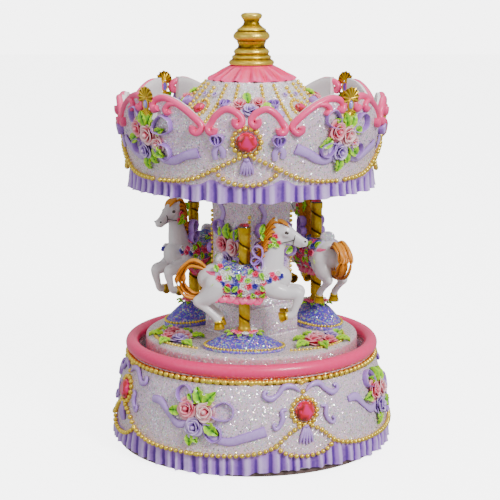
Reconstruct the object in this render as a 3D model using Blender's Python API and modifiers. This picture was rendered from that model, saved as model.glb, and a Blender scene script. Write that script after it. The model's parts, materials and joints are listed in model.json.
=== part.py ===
"""Carousel music box: a resin base with a spring driven musical movement, and the carousel that it turns.

The frame is in metres with +Z up. The origin is on the ground below the carousel's axis and the front is -Y.
Sizes below are in millimetres and MM turns them into metres. Azimuths are in degrees from the front, turning
towards +X, the way the carousel runs. The carousel and the parts that it takes along hang under carousel_axis;
each other moving piece hangs under an empty on its own joint's axis.
"""

import math

import bmesh
import bpy
from mathutils import Matrix, Vector

MM = 0.001

# Clearances
GAP = 0.3
RUN_GAP = 0.4
TURNTABLE_GAP = 3.7
JEWEL_GAP = 0.5

# Base
PLATE_THICKNESS = 3.0
PLATE_INSET = 5.8
KEY_WELL_RADIUS = 20.0
HEM_HEIGHT = 1.2
FOOT_RADIUS = 69.6
SHOULDER_RADIUS = 62.3
SHOULDER_HEIGHT = 5.4
FOOT_WALL = 13.1
SHOULDER_WALL = 6.0
DECK_THICKNESS = 3.0
RIM_RADIUS = 61.1
RIM_TUBE = 3.3
BASE_TURN = 22.0
BASE_JEWEL_HEIGHT = 31.0
JEWEL_RADIUS = 5.0
JEWEL_DEPTH = 2.4

# Movement
BED_HEIGHT = 11.3
BED_THICKNESS = 2.0
POST_RADIUS = 2.5
MOVEMENT_HEIGHT = 24.1
HEADROOM = 0.6
BARREL_RADIUS = 14.0
BARREL_HEIGHT = 8.3
BARREL_WALL = 1.1
ARBOR_RADIUS = 2.0
SPINDLE_RADIUS = 2.0
CROWN_TEETH = 24
CROWN_INNER = 11.0
CROWN_OUTER = 13.5
TOOTH_DEPTH = 1.1
PINION_TEETH = 8
CYLINDER_RADIUS = 6.5
CYLINDER_LENGTH = 20.0
CYLINDER_ARBOR_RADIUS = 1.2
GEAR_TEETH = 20
GEAR_RADIUS = 6.0
GEAR_THICKNESS = 1.4
WHEEL_TEETH = 12
WHEEL_RADIUS = 3.2
IDLER_ARBOR_RADIUS = 0.9
WORM_RADIUS = 1.8
WORM_TURNS = 3
FAN_RADIUS = 5.5
FAN_HEIGHT = 3.0
BRACKET_THICKNESS = 1.2
COMB_TEETH = 18
COMB_THICKNESS = 0.9
COMB_LENGTH = 13.0
KEY_SPAN = 11.0
KEY_HEIGHT = 7.0
KEY_THICKNESS = 1.6

# Carousel
TURNTABLE_HEIGHT = 11.8
TURNTABLE_SHELL = 4.3
HUB_RADIUS = 9.0
COLUMN_HEIGHT = 76.1
COLUMN_TURN = -3.0
COLUMN_HALF_DIAGONAL = 20.5
PLINTH_HALF_DIAGONAL = 24.5
PLINTH_HEIGHT = 14.6
HORSE_CIRCLE = 37.0
HORSE_TURN = -5.4
HORSE_LIFTS = (0.0, 3.4, 2.7)
MOUND_LENGTH = 20.0
MOUND_WIDTH = 11.8
MOUND_HEIGHT = 8.2
POLE_RADIUS = 3.0
POLE_LENGTH = 51.7
POLE_JEWEL_HEIGHT = 2.0

# Canopy
CANOPY_TURN = -2.0
CANOPY_RADIUS = 60.2
CANOPY_WALL = 3.0
DECK_DISC_THICKNESS = 3.5
SMALL_SCALLOP_END = 16.3
SHELL_HALF_ANGLE = 5.3
SHELL_WIDTH = 10.5
SHELL_HEIGHT = 15.0
SHELL_THICKNESS = 2.6
CANOPY_JEWEL_LIFT = 28.2
DOME_WALL = 4.0
FINIAL_RADIUS = 11.1
COLLAR_RADIUS = 21.9

ROUND_STEPS = 48

# Heights that follow
BED_TOP = BED_HEIGHT + BED_THICKNESS
DECK_UNDERSIDE = BED_TOP + MOVEMENT_HEIGHT + HEADROOM
DECK_TOP = DECK_UNDERSIDE + DECK_THICKNESS
WALL_TOP = DECK_TOP + SHOULDER_HEIGHT
RIM_HEIGHT = WALL_TOP + GAP + RIM_TUBE
WELL_RADIUS = RIM_RADIUS - RIM_TUBE
TURNTABLE_RADIUS = WELL_RADIUS - TURNTABLE_GAP
TURNTABLE_BOTTOM = DECK_TOP + 2.3
TURNTABLE_TOP = TURNTABLE_BOTTOM + TURNTABLE_HEIGHT
COLUMN_BOTTOM = TURNTABLE_TOP + GAP
COLUMN_TOP = COLUMN_BOTTOM + COLUMN_HEIGHT
MOUND_BOTTOM = TURNTABLE_TOP + GAP
PLATE_RADIUS = FOOT_RADIUS - PLATE_INSET
SCREW_CIRCLE = PLATE_RADIUS - 3.5
BARREL_BOTTOM = BED_TOP + RUN_GAP
BARREL_TOP = BARREL_BOTTOM + BARREL_HEIGHT
LID_BOTTOM = BARREL_TOP + GAP
LID_TOP = LID_BOTTOM + 1.3
CROWN_TIP = LID_TOP + TOOTH_DEPTH
PINION_RADIUS = (CROWN_INNER + CROWN_OUTER) / 2 * PINION_TEETH / CROWN_TEETH
CYLINDER_HEIGHT = LID_TOP + TOOTH_DEPTH / 2 + PINION_RADIUS
IDLER_RADIUS = GEAR_RADIUS * PINION_TEETH / GEAR_TEETH
IDLER_OFFSET = GEAR_RADIUS + IDLER_RADIUS
WORM_OFFSET = IDLER_OFFSET + WHEEL_RADIUS + WORM_RADIUS

# Stations along the cylinder's axis, outwards from the spindle
INNER_BRACKET_X = BARREL_RADIUS + RUN_GAP
CYLINDER_START = INNER_BRACKET_X + BRACKET_THICKNESS + RUN_GAP
CYLINDER_END = CYLINDER_START + CYLINDER_LENGTH
GEAR_X = CYLINDER_END + RUN_GAP
OUTER_BRACKET_X = GEAR_X + GEAR_THICKNESS + 1.0
WHEEL_X = OUTER_BRACKET_X + BRACKET_THICKNESS + 0.8
FAR_BRACKET_X = WHEEL_X + GEAR_THICKNESS + 1.2
WORM_X = WHEEL_X + GEAR_THICKNESS / 2
FRAME_X = WORM_X + FAN_RADIUS + 1.4

# Canopy levels
CANOPY_BOTTOM = COLUMN_TOP
CEILING_BOTTOM = COLUMN_TOP + GAP
DOME_RIM_HEIGHT = CANOPY_BOTTOM + 27.0
DOME_TOP = CANOPY_BOTTOM + 51.9
COLLAR_BOTTOM = DOME_TOP + GAP
COLLAR_TOP = COLLAR_BOTTOM + 6.9
FINIAL_BOTTOM = COLLAR_TOP + GAP

FINISHES = {
    "pink": ((0.87, 0.16, 0.28), 0.35, 0.0),
    "glitter": ((0.62, 0.56, 0.62), 0.45, 0.0),
    "violet_glitter": ((0.16, 0.13, 0.38), 0.45, 0.0),
    "gold": ((0.46, 0.31, 0.05), 0.38, 1.0),
    "horse_white": ((0.75, 0.71, 0.70), 0.4, 0.0),
    "jewel": ((0.75, 0.02, 0.10), 0.1, 0.0),
    "brown_board": ((0.08, 0.055, 0.05), 0.6, 0.0),
    "brass": ((0.60, 0.42, 0.14), 0.3, 1.0),
    "steel": ((0.55, 0.56, 0.58), 0.3, 1.0),
    "zinc": ((0.42, 0.43, 0.45), 0.45, 1.0),
    "nylon": ((0.80, 0.79, 0.74), 0.5, 0.0),
}


# --- helpers ---------------------------------------------------------------------------------------------


def clear_scene():
    for obj in list(bpy.data.objects):
        bpy.data.objects.remove(obj, do_unlink=True)


def new_collection(name):
    collection = bpy.data.collections.new(name)
    bpy.context.scene.collection.children.link(collection)
    return collection


def own_material(name, finish):
    color, roughness, metallic = FINISHES[finish]
    material = bpy.data.materials.new(name + "_finish")
    material.use_nodes = True
    shader = material.node_tree.nodes["Principled BSDF"]
    shader.inputs["Base Color"].default_value = (*color, 1.0)
    shader.inputs["Roughness"].default_value = roughness
    shader.inputs["Metallic"].default_value = metallic
    return material


def around(azimuth, radius, height):
    """The point at this azimuth in degrees, radius and height."""
    turn = math.radians(azimuth)
    return Vector((radius * math.sin(turn), -radius * math.cos(turn), height))


def facing(azimuth, radius, height, tilt=0.0):
    """A frame at that point: local +Z points out along the radius, raised by tilt degrees, local +Y points up."""
    turn = Matrix.Rotation(math.radians(azimuth), 4, "Z")
    upright = Matrix.Rotation(math.radians(90 - tilt), 4, "X")
    return Matrix.Translation(around(azimuth, radius, height) * MM) @ turn @ upright


def along_x(x, y, z):
    """A frame whose local +Z runs along +X: what is drawn in its XY plane lies across the cylinder's axis."""
    turn = Matrix(((0, 0, 1), (1, 0, 0), (0, 1, 0))).to_4x4()
    return Matrix.Translation(Vector((x, y, z)) * MM) @ turn


def link(obj, name, finish=None, parent=None):
    """Names a finished piece, gives it its material and parent, and puts it with the parts, or the cutters."""
    obj.name = name
    obj.data.name = name
    for collection in list(obj.users_collection):
        collection.objects.unlink(obj)
    if finish is None:
        CUTTERS.objects.link(obj)
        obj.hide_render = True
        obj.display_type = "WIRE"
        return obj
    PARTS.objects.link(obj)
    obj.data.materials.clear()
    obj.data.materials.append(own_material(name, finish))
    if parent is not None:
        obj.parent = parent
        obj.matrix_parent_inverse = parent.matrix_world.inverted()
    return obj


def baked(obj):
    """The object as a plain mesh, with its modifiers applied or its curve turned into faces."""
    bpy.context.view_layer.update()
    evaluated = obj.evaluated_get(bpy.context.evaluated_depsgraph_get())
    mesh = bpy.data.meshes.new_from_object(evaluated)
    bm = bmesh.new()
    bm.from_mesh(mesh)
    bmesh.ops.remove_doubles(bm, verts=bm.verts, dist=1e-6)
    bm.to_mesh(mesh)
    bm.free()
    plain = bpy.data.objects.new(obj.name, mesh)
    plain.matrix_world = obj.matrix_world.copy()
    bpy.context.scene.collection.objects.link(plain)
    bpy.data.objects.remove(obj, do_unlink=True)
    return plain


def smooth(obj, angle=35):
    obj.data.shade_smooth()
    obj.data.set_sharp_from_angle(angle=math.radians(angle))
    return obj


def turned(profile, steps=ROUND_STEPS, closed=True):
    """A turned piece from (radius, height) points that run down its outer side. A ring's profile is closed."""
    bm = bmesh.new()
    points = [bm.verts.new((radius * MM, 0, height * MM)) for radius, height in profile]
    for first, second in zip(points, points[1:]):
        bm.edges.new((first, second))
    if closed and profile[0][0] > 0:
        bm.edges.new((points[-1], points[0]))
    mesh = bpy.data.meshes.new("turned")
    bm.to_mesh(mesh)
    bm.free()
    obj = bpy.data.objects.new("turned", mesh)
    bpy.context.scene.collection.objects.link(obj)
    screw = obj.modifiers.new("Turn", "SCREW")
    screw.steps = steps
    screw.render_steps = steps
    screw.use_merge_vertices = True
    screw.merge_threshold = 1e-5
    return smooth(baked(obj))


def cylinder(radius, length, vertices=24, frame=None, top_radius=None):
    """A cylinder, or a cone frustum, from the frame's origin along its +Z."""
    top = radius if top_radius is None else top_radius
    bpy.ops.mesh.primitive_cone_add(
        vertices=vertices, radius1=radius * MM, radius2=top * MM, depth=length * MM
    )
    obj = bpy.context.object
    obj.data.transform(Matrix.Translation((0, 0, length * MM / 2)))
    obj.matrix_world = frame or Matrix()
    return smooth(obj)


def at_height(height):
    return Matrix.Translation((0, 0, height * MM))


def plate(outlines, thickness, frame):
    """A flat piece from the frame's origin along its +Z: the first outline less the holes that follow it."""
    curve = bpy.data.curves.new("plate", "CURVE")
    curve.dimensions = "2D"
    curve.fill_mode = "BOTH"
    curve.extrude = thickness * MM / 2
    for outline in outlines:
        spline = curve.splines.new("POLY")
        spline.points.add(len(outline) - 1)
        for point, (x, y) in zip(spline.points, outline):
            point.co = (x * MM, y * MM, 0, 1)
        spline.use_cyclic_u = True
    obj = bpy.data.objects.new("plate", curve)
    bpy.context.scene.collection.objects.link(obj)
    obj.matrix_world = frame @ at_height(thickness / 2)
    return smooth(baked(obj))


def ring_of_points(radius, count, centre=(0.0, 0.0)):
    steps = [2 * math.pi * (i + 0.5) / count for i in range(count)]
    return [(centre[0] + radius * math.cos(a), centre[1] + radius * math.sin(a)) for a in steps]


def rectangle(left, bottom, right, top):
    return [(left, bottom), (right, bottom), (right, top), (left, top)]


def gear_outline(teeth, pitch_radius, first_tooth, depth=TOOTH_DEPTH):
    """A gear's outline. Its teeth fill under a third of the pitch, and the first one is at first_tooth degrees."""
    tip, root = pitch_radius + 0.42 * depth, pitch_radius - 0.58 * depth
    corners = ((-0.2, root), (-0.1, tip), (0.1, tip), (0.2, root))
    outline = []
    for tooth in range(teeth):
        for share, radius in corners:
            angle = math.radians(first_tooth) + 2 * math.pi * (tooth + share) / teeth
            outline.append((radius * math.cos(angle), radius * math.sin(angle)))
    return outline


def combine(obj, others, operation):
    """Adds a Boolean modifier for each of the other pieces, which become hidden helpers."""
    for index, other in enumerate(others):
        helper = link(other, f"{obj.name}_{operation.lower()}_{index + 1}")
        modifier = obj.modifiers.new(helper.name, "BOOLEAN")
        modifier.operation = operation
        modifier.solver = "EXACT"
        modifier.object = helper
    return obj


def axis_empty(name, position):
    empty = bpy.data.objects.new(name, None)
    empty.location = Vector(position) * MM
    empty.empty_display_size = 5 * MM
    PARTS.objects.link(empty)
    bpy.context.view_layer.update()
    return empty


def radius_at(profile, height):
    """The radius of a (radius, height) profile that runs downwards, at this height."""
    for (upper, top), (lower, bottom) in zip(profile, profile[1:]):
        if bottom <= height <= top:
            return lower + (upper - lower) * (height - bottom) / (top - bottom)
    return profile[-1][0] if height < profile[-1][1] else profile[0][0]


def slope_at(profile, height):
    """How far the outside of the profile leans back at this height, in degrees."""
    step = 2.0
    change = radius_at(profile, height - step) - radius_at(profile, height + step)
    return math.degrees(math.atan2(change, 2 * step))


# --- base ------------------------------------------------------------------------------------------------


def base_outside():
    """The base wall's outer side, from its shoulder down to the hem."""
    fall = WALL_TOP - HEM_HEIGHT
    swell = FOOT_RADIUS - SHOULDER_RADIUS
    shares = ((0.0, 0.0), (0.08, 0.2), (0.33, 0.62), (0.55, 0.9), (0.76, 1.0), (0.9, 1.19), (1.0, 1.27))
    return [(SHOULDER_RADIUS + swell * out, WALL_TOP - fall * down) for down, out in shares]


def base_shell():
    ledge_height = PLATE_THICKNESS + GAP
    ledge_radius = PLATE_RADIUS + 2 * GAP
    inside = [
        (ledge_radius, HEM_HEIGHT),
        (ledge_radius, ledge_height),
        (FOOT_RADIUS - FOOT_WALL, ledge_height),
        (SHOULDER_RADIUS - SHOULDER_WALL, DECK_UNDERSIDE),
        (HUB_RADIUS - 2.7, DECK_UNDERSIDE),
        (HUB_RADIUS - 2.7, DECK_TOP),
        (WELL_RADIUS, DECK_TOP),
        (WELL_RADIUS, WALL_TOP),
    ]
    shell = link(turned(base_outside() + inside), "base_shell", "glitter")
    holes = [cylinder(1.7, 9.0, 12, screw_frame(k) @ at_height(1.5)) for k in range(3)]
    return combine(shell, holes, "DIFFERENCE")


def rim_ring():
    bpy.ops.mesh.primitive_torus_add(
        major_segments=ROUND_STEPS,
        minor_segments=10,
        major_radius=RIM_RADIUS * MM,
        minor_radius=RIM_TUBE * MM,
        location=(0, 0, RIM_HEIGHT * MM),
    )
    link(smooth(bpy.context.object, 60), "rim_ring", "pink")


def screw_frame(index):
    return Matrix.Translation(around(60 + 120 * index, SCREW_CIRCLE, 0) * MM)


def bottom_plate():
    outlines = [ring_of_points(PLATE_RADIUS, ROUND_STEPS), ring_of_points(KEY_WELL_RADIUS, 32)]
    board = link(plate(outlines, PLATE_THICKNESS, Matrix()), "bottom_plate", "brown_board")
    holes = []
    for index in range(3):
        frame = screw_frame(index)
        holes.append(cylinder(1.8, PLATE_THICKNESS + 2, 12, frame @ at_height(-1)))
        holes.append(cylinder(3.1, 2.7, 12, frame @ at_height(-1)))
    combine(board, holes, "DIFFERENCE")


def plate_screws():
    for index in range(3):
        profile = [(0, 10.0), (1.4, 10.0), (1.4, 2.0 - GAP), (2.7, 2.0 - GAP), (2.7, GAP), (0, GAP)]
        screw = turned(profile, 12)
        screw.matrix_world = screw_frame(index)
        link(screw, f"plate_screw_{index + 1}", "steel")


def wall_jewels(prefix, profile, turn, height, parent=None):
    """Four cut stones on a wall, a quarter turn apart and square to it."""
    radius = radius_at(profile, height) + JEWEL_GAP
    tilt = slope_at(profile, height)
    for index in range(4):
        frame = facing(turn + 90 * index, radius, height, tilt)
        stone = cylinder(JEWEL_RADIUS, JEWEL_DEPTH, 12, frame, JEWEL_RADIUS * 0.62)
        link(stone, f"{prefix}_{index + 1}", "jewel", parent)


def spindle_bushing():
    flange_top = DECK_TOP + GAP + 0.9
    profile = [
        (HUB_RADIUS - 1, flange_top),
        (HUB_RADIUS - 1, DECK_TOP + GAP),
        (HUB_RADIUS - 3, DECK_TOP + GAP),
        (HUB_RADIUS - 3, DECK_UNDERSIDE),
        (SPINDLE_RADIUS + RUN_GAP, DECK_UNDERSIDE),
        (SPINDLE_RADIUS + RUN_GAP, flange_top),
    ]
    link(turned(profile, 24), "spindle_bushing", "brass")


# --- movement: fixed parts -------------------------------------------------------------------------------


def movement_bed():
    right = FRAME_X + 2.4
    outline = [(-22, -18), (CYLINDER_END, -22), (right, -8), (right, WORM_OFFSET + 3.6), (30, 19), (-22, 18)]
    hole = ring_of_points(ARBOR_RADIUS + RUN_GAP, 16)
    bed = link(plate([outline, hole], BED_THICKNESS, at_height(BED_HEIGHT)), "movement_bed", "zinc")
    posts = []
    for x, y in ((-18.5, -14.5), (-18.5, 14.5), (CYLINDER_END - 3, -17.5), (right - 6, WORM_OFFSET - 0.4)):
        foot = Vector((x, y, PLATE_THICKNESS + GAP)) * MM
        length = BED_HEIGHT + BED_THICKNESS / 2 - PLATE_THICKNESS - GAP
        posts.append(cylinder(POST_RADIUS, length, 12, Matrix.Translation(foot)))
    combine(bed, posts, "UNION")


def bearing_plate(name, x, left, right, bearings):
    """An upright plate across the cylinder's axis, from the bed to above its bearing holes."""
    bottom, top = BED_TOP + GAP - CYLINDER_HEIGHT, 3.0
    outlines = [rectangle(left, bottom, right, top)]
    for offset, radius in bearings:
        outlines.append(ring_of_points(radius + GAP, 12, (offset, 0)))
    link(plate(outlines, BRACKET_THICKNESS, along_x(x, 0, CYLINDER_HEIGHT)), name, "zinc")


def bearing_plates():
    cylinder_bearing = (0, CYLINDER_ARBOR_RADIUS)
    idler_bearing = (IDLER_OFFSET, IDLER_ARBOR_RADIUS)
    bearing_plate("cylinder_bracket_inner", INNER_BRACKET_X, -4, 4, [cylinder_bearing])
    bearing_plate(
        "cylinder_bracket_outer", OUTER_BRACKET_X, -4, IDLER_OFFSET + 2.5, [cylinder_bearing, idler_bearing]
    )
    bearing_plate("idler_bracket", FAR_BRACKET_X, IDLER_OFFSET - 2.5, IDLER_OFFSET + 2.5, [idler_bearing])


def governor_frame():
    """The hook shaped frame that stands beside the fan and carries its upper pivot."""
    bottom, top = BED_TOP + GAP, BED_TOP + MOVEMENT_HEIGHT
    width, depth, thickness = 5.0, 1.6, 1.1
    outer = FRAME_X + depth
    outline = [
        (WORM_X - 1.5, top),
        (WORM_X - 1.5, top - thickness),
        (FRAME_X, top - thickness),
        (FRAME_X, bottom + thickness),
        (FRAME_X - 3, bottom + thickness),
        (FRAME_X - 3, bottom),
        (outer, bottom),
        (outer, top),
    ]
    across = Matrix.Rotation(math.radians(90), 4, "X")
    frame = Matrix.Translation((0, (WORM_OFFSET + width / 2) * MM, 0)) @ across
    link(plate([outline], width, frame), "governor_frame", "zinc")


def comb_screw_places():
    centre = (CYLINDER_START + CYLINDER_END) / 2
    y = -(CYLINDER_RADIUS + COMB_LENGTH - 3.5)
    return [(centre - 6, y), (centre + 6, y)]


def comb():
    """The steel comb: its teeth point at the cylinder, longest for the lowest note."""
    tip = -(CYLINDER_RADIUS + 0.5)
    back = tip - COMB_LENGTH
    left, right = CYLINDER_START + 0.8, CYLINDER_END - 0.8
    pitch = (right - left) / COMB_TEETH
    outline = [(left, back), (right, back)]
    for tooth in reversed(range(COMB_TEETH)):
        root = tip - 4.0 - 2.0 * (1 - tooth / COMB_TEETH)
        start = left + pitch * (tooth + 0.18)
        end = left + pitch * (tooth + 0.82)
        outline += [(end, root), (end, tip), (start, tip), (start, root)]
    outline[2] = (right, outline[2][1])
    outline[-1] = (left, outline[-1][1])
    outline.insert(3, (outline[3][0], outline[2][1]))
    outline.insert(-1, (outline[-2][0], outline[-1][1]))
    holes = [ring_of_points(1.0 + GAP, 10, place) for place in comb_screw_places()]
    frame = at_height(CYLINDER_HEIGHT - COMB_THICKNESS / 2)
    link(plate([outline, *holes], COMB_THICKNESS, frame), "comb", "steel")


def comb_block():
    back = -(CYLINDER_RADIUS + 0.5 + COMB_LENGTH)
    front = -(CYLINDER_RADIUS + 7.2)
    bottom = BED_TOP + GAP
    height = CYLINDER_HEIGHT - COMB_THICKNESS / 2 - GAP - bottom
    outline = rectangle(CYLINDER_START + 0.8, back, CYLINDER_END - 0.8, front)
    holes = [ring_of_points(1.0 + GAP, 10, place) for place in comb_screw_places()]
    link(plate([outline, *holes], height, at_height(bottom)), "comb_block", "zinc")


def comb_screws():
    seat = CYLINDER_HEIGHT + COMB_THICKNESS / 2 + GAP
    foot = BED_TOP + 4
    for index, (x, y) in enumerate(comb_screw_places()):
        profile = [(0, seat + 1.2), (1.9, seat + 1.2), (1.9, seat), (1.0, seat), (1.0, foot), (0, foot)]
        screw = turned(profile, 10)
        screw.matrix_world = Matrix.Translation((x * MM, y * MM, 0))
        link(screw, f"comb_screw_{index + 1}", "steel")


# --- movement: moving parts ------------------------------------------------------------------------------


def winding_key():
    axis = axis_empty("key_axis", (0, 0, PLATE_THICKNESS))
    bottom, top = 1.0, 1.0 + KEY_HEIGHT
    half = KEY_THICKNESS / 2
    wing = [(2.2, bottom + 1.6), (KEY_SPAN - 3, bottom), (KEY_SPAN, bottom + 2.5), (KEY_SPAN, top - 2.5)]
    wing += [(KEY_SPAN - 3, top), (2.2, top - 1.4)]
    outline = wing + [(-x, z) for x, z in reversed(wing)]
    across = Matrix.Translation((0, half * MM, 0)) @ Matrix.Rotation(math.radians(90), 4, "X")
    key = link(plate([outline], KEY_THICKNESS, across), "winding_key", "brass", axis)
    hub_bottom = bottom + 3
    hub = cylinder(ARBOR_RADIUS + 1.5, BED_HEIGHT - 1 - hub_bottom, 16, at_height(hub_bottom))
    combine(key, [hub], "UNION")
    combine(key, [cylinder(ARBOR_RADIUS + GAP, BED_HEIGHT, 16, at_height(hub_bottom + 2))], "DIFFERENCE")
    arbor_bottom = hub_bottom + 2 + GAP
    arbor = cylinder(ARBOR_RADIUS, BARREL_TOP - 1 - arbor_bottom, 16, at_height(arbor_bottom))
    link(arbor, "winding_arbor", "steel", axis)


def spring_barrel(axis):
    inner = BARREL_RADIUS - BARREL_WALL
    bore = ARBOR_RADIUS + RUN_GAP
    floor = BARREL_BOTTOM + 1.2
    profile = [
        (BARREL_RADIUS, BARREL_TOP),
        (BARREL_RADIUS, BARREL_BOTTOM),
        (bore, BARREL_BOTTOM),
        (bore, floor),
        (inner, floor),
        (inner, BARREL_TOP),
    ]
    link(turned(profile, 32), "spring_barrel", "brass", axis)


def mainspring(axis):
    """A flat spiral of spring strip between the arbor and the barrel's wall."""
    start, end = ARBOR_RADIUS + 0.8, BARREL_RADIUS - BARREL_WALL - 0.8
    turns, steps = 4, 14
    bottom, top = BARREL_BOTTOM + 1.6, BARREL_TOP - 0.8
    bm = bmesh.new()
    points = []
    for step in range(turns * steps + 1):
        share = step / (turns * steps)
        angle = 2 * math.pi * turns * share
        radius = (start + (end - start) * share) * MM
        points.append(bm.verts.new((radius * math.cos(angle), radius * math.sin(angle), bottom * MM)))
    for first, second in zip(points, points[1:]):
        bm.edges.new((first, second))
    raised = bmesh.ops.extrude_edge_only(bm, edges=bm.edges[:])
    verts = [item for item in raised["geom"] if isinstance(item, bmesh.types.BMVert)]
    bmesh.ops.translate(bm, verts=verts, vec=(0, 0, (top - bottom) * MM))
    bmesh.ops.recalc_face_normals(bm, faces=bm.faces)
    mesh = bpy.data.meshes.new("mainspring")
    bm.to_mesh(mesh)
    bm.free()
    obj = bpy.data.objects.new("mainspring", mesh)
    strip = obj.modifiers.new("Strip", "SOLIDIFY")
    strip.thickness = 0.4 * MM
    strip.offset = 0
    link(obj, "mainspring", "steel", axis)


def crown_wheel(axis):
    """The barrel's lid. The teeth that turn the cylinder stand up along its edge."""
    low = LID_TOP + 0.1
    profile = [(0, LID_TOP), (CROWN_INNER, LID_TOP), (CROWN_INNER, low), (CROWN_OUTER, low)]
    profile += [(CROWN_OUTER, LID_BOTTOM), (0, LID_BOTTOM)]
    lid = turned(profile, 4 * CROWN_TEETH)
    shares = (0.30, 0.42, 0.58, 0.70)
    pitch = 2 * math.pi / CROWN_TEETH
    for vertex in lid.data.vertices:
        x, y, z = vertex.co
        step = round(math.atan2(y, x) / (pitch / 4)) % (4 * CROWN_TEETH)
        angle = (step // 4 + shares[step % 4]) * pitch
        radius = math.hypot(x, y)
        raised = z > (LID_TOP + 0.05) * MM and step % 4 in (1, 2)
        vertex.co = (radius * math.cos(angle), radius * math.sin(angle), CROWN_TIP * MM if raised else z)
    link(lid, "crown_wheel", "brass", axis)


def drive_spindle(axis):
    flange = LID_TOP + GAP
    top = TURNTABLE_TOP - TURNTABLE_SHELL - 2.1
    profile = [
        (0, top),
        (SPINDLE_RADIUS, top),
        (SPINDLE_RADIUS, flange + 1.2),
        (6.0, flange + 1.2),
        (6.0, flange),
        (0, flange),
    ]
    link(turned(profile, 16), "drive_spindle", "steel", axis)


def pin_cylinder():
    axis = axis_empty("cylinder_axis", (CYLINDER_START, 0, CYLINDER_HEIGHT))
    bore = ring_of_points(CYLINDER_ARBOR_RADIUS + GAP, 12)

    def across(x):
        return along_x(x, 0, CYLINDER_HEIGHT)

    tube = plate([ring_of_points(CYLINDER_RADIUS, 32), bore], CYLINDER_LENGTH, across(CYLINDER_START))
    link(tube, "pin_cylinder", "brass", axis)
    pinion = [gear_outline(PINION_TEETH, PINION_RADIUS, -90), bore]
    width = CROWN_OUTER - CROWN_INNER
    link(plate(pinion, width, across(CROWN_INNER)), "cylinder_pinion", "brass", axis)
    gear = [gear_outline(GEAR_TEETH, GEAR_RADIUS, 0), bore]
    link(plate(gear, GEAR_THICKNESS, across(GEAR_X)), "cylinder_gear", "nylon", axis)
    length = OUTER_BRACKET_X + BRACKET_THICKNESS + GAP - CROWN_INNER + 0.4
    link(cylinder(CYLINDER_ARBOR_RADIUS, length, 12, across(CROWN_INNER - 0.4)), "cylinder_arbor", "steel", axis)


def idler():
    """The pinion that the cylinder's gear turns, and the wheel on the same arbor that turns the worm."""
    axis = axis_empty("idler_axis", (GEAR_X, IDLER_OFFSET, CYLINDER_HEIGHT))

    def across(x):
        return along_x(x, IDLER_OFFSET, CYLINDER_HEIGHT)

    start = GEAR_X - 0.5
    length = FAR_BRACKET_X + BRACKET_THICKNESS + GAP - start
    arbor = link(cylinder(IDLER_ARBOR_RADIUS, length, 12, across(start)), "idler_wheel", "nylon", axis)
    half_tooth = 180 / PINION_TEETH
    pinion = plate([gear_outline(PINION_TEETH, IDLER_RADIUS, half_tooth)], GEAR_THICKNESS, across(GEAR_X))
    wheel = plate([gear_outline(WHEEL_TEETH, WHEEL_RADIUS, 0, 0.9)], GEAR_THICKNESS, across(WHEEL_X))
    combine(arbor, [pinion, wheel], "UNION")


def governor():
    """The upright worm that the idler wheel drives, and the fan on it that holds the speed down."""
    axis = axis_empty("governor_axis", (WORM_X, WORM_OFFSET, CYLINDER_HEIGHT))
    place = Matrix.Translation((WORM_X * MM, WORM_OFFSET * MM, 0))
    bottom, top = BED_TOP + RUN_GAP, BED_TOP + MOVEMENT_HEIGHT - 1.1 - GAP
    shaft_radius, root = 0.8, WORM_RADIUS - 0.45
    lead = 2 * math.pi * WHEEL_RADIUS / WHEEL_TEETH
    half_length = lead * WORM_TURNS / 2
    neck = half_length + 0.6
    profile = [
        (0, top),
        (shaft_radius, top),
        (shaft_radius, CYLINDER_HEIGHT + neck),
        (root, CYLINDER_HEIGHT + neck),
        (root, CYLINDER_HEIGHT - neck),
        (shaft_radius, CYLINDER_HEIGHT - neck),
        (shaft_radius, bottom),
        (0, bottom),
    ]
    shaft = turned(profile, 12)
    shaft.matrix_world = place
    shaft = link(shaft, "governor_worm", "brass", axis)
    start = place @ at_height(CYLINDER_HEIGHT - half_length)
    combine(shaft, [worm_thread(root - 0.25, WORM_RADIUS + 0.3, lead, start)], "UNION")
    hub, tip, half = 1.9, FAN_RADIUS, 0.45
    outline = [(hub, -half), (tip, -half), (tip, half), (hub, half), (hub * 0.6, hub * 0.7)]
    outline += [(-hub * 0.6, hub * 0.7), (-hub, half), (-tip, half), (-tip, -half), (-hub, -half)]
    outline += [(-hub * 0.6, -hub * 0.7), (hub * 0.6, -hub * 0.7)]
    bore = ring_of_points(shaft_radius + GAP / 2, 10)
    fan = plate([outline, bore], FAN_HEIGHT, place @ at_height(top - FAN_HEIGHT - 0.3))
    link(fan, "air_brake_fan", "brass", axis)


def worm_thread(inner, outer, lead, frame):
    """A right handed screw thread, swept as a turned section. At the front of the wheel it leaves a gap."""
    half_inner, half_outer = 0.32, 0.14
    section = [(inner, half_inner), (outer, half_outer), (outer, -half_outer), (inner, -half_inner)]
    bm = bmesh.new()
    start = math.radians(-90)
    points = []
    for radius, height in section:
        x, y = radius * math.cos(start), radius * math.sin(start)
        points.append(bm.verts.new((x * MM, y * MM, height * MM)))
    bm.faces.new(points)
    mesh = bpy.data.meshes.new("thread")
    bm.to_mesh(mesh)
    bm.free()
    obj = bpy.data.objects.new("thread", mesh)
    bpy.context.scene.collection.objects.link(obj)
    screw = obj.modifiers.new("Thread", "SCREW")
    screw.iterations = WORM_TURNS
    screw.screw_offset = lead * MM
    screw.steps = 12
    screw.render_steps = 12
    obj = baked(obj)
    bm = bmesh.new()
    bm.from_mesh(obj.data)
    bmesh.ops.holes_fill(bm, edges=[edge for edge in bm.edges if edge.is_boundary])
    bmesh.ops.recalc_face_normals(bm, faces=bm.faces)
    bm.to_mesh(obj.data)
    bm.free()
    obj.matrix_world = frame
    return obj


# --- carousel --------------------------------------------------------------------------------------------


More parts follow.
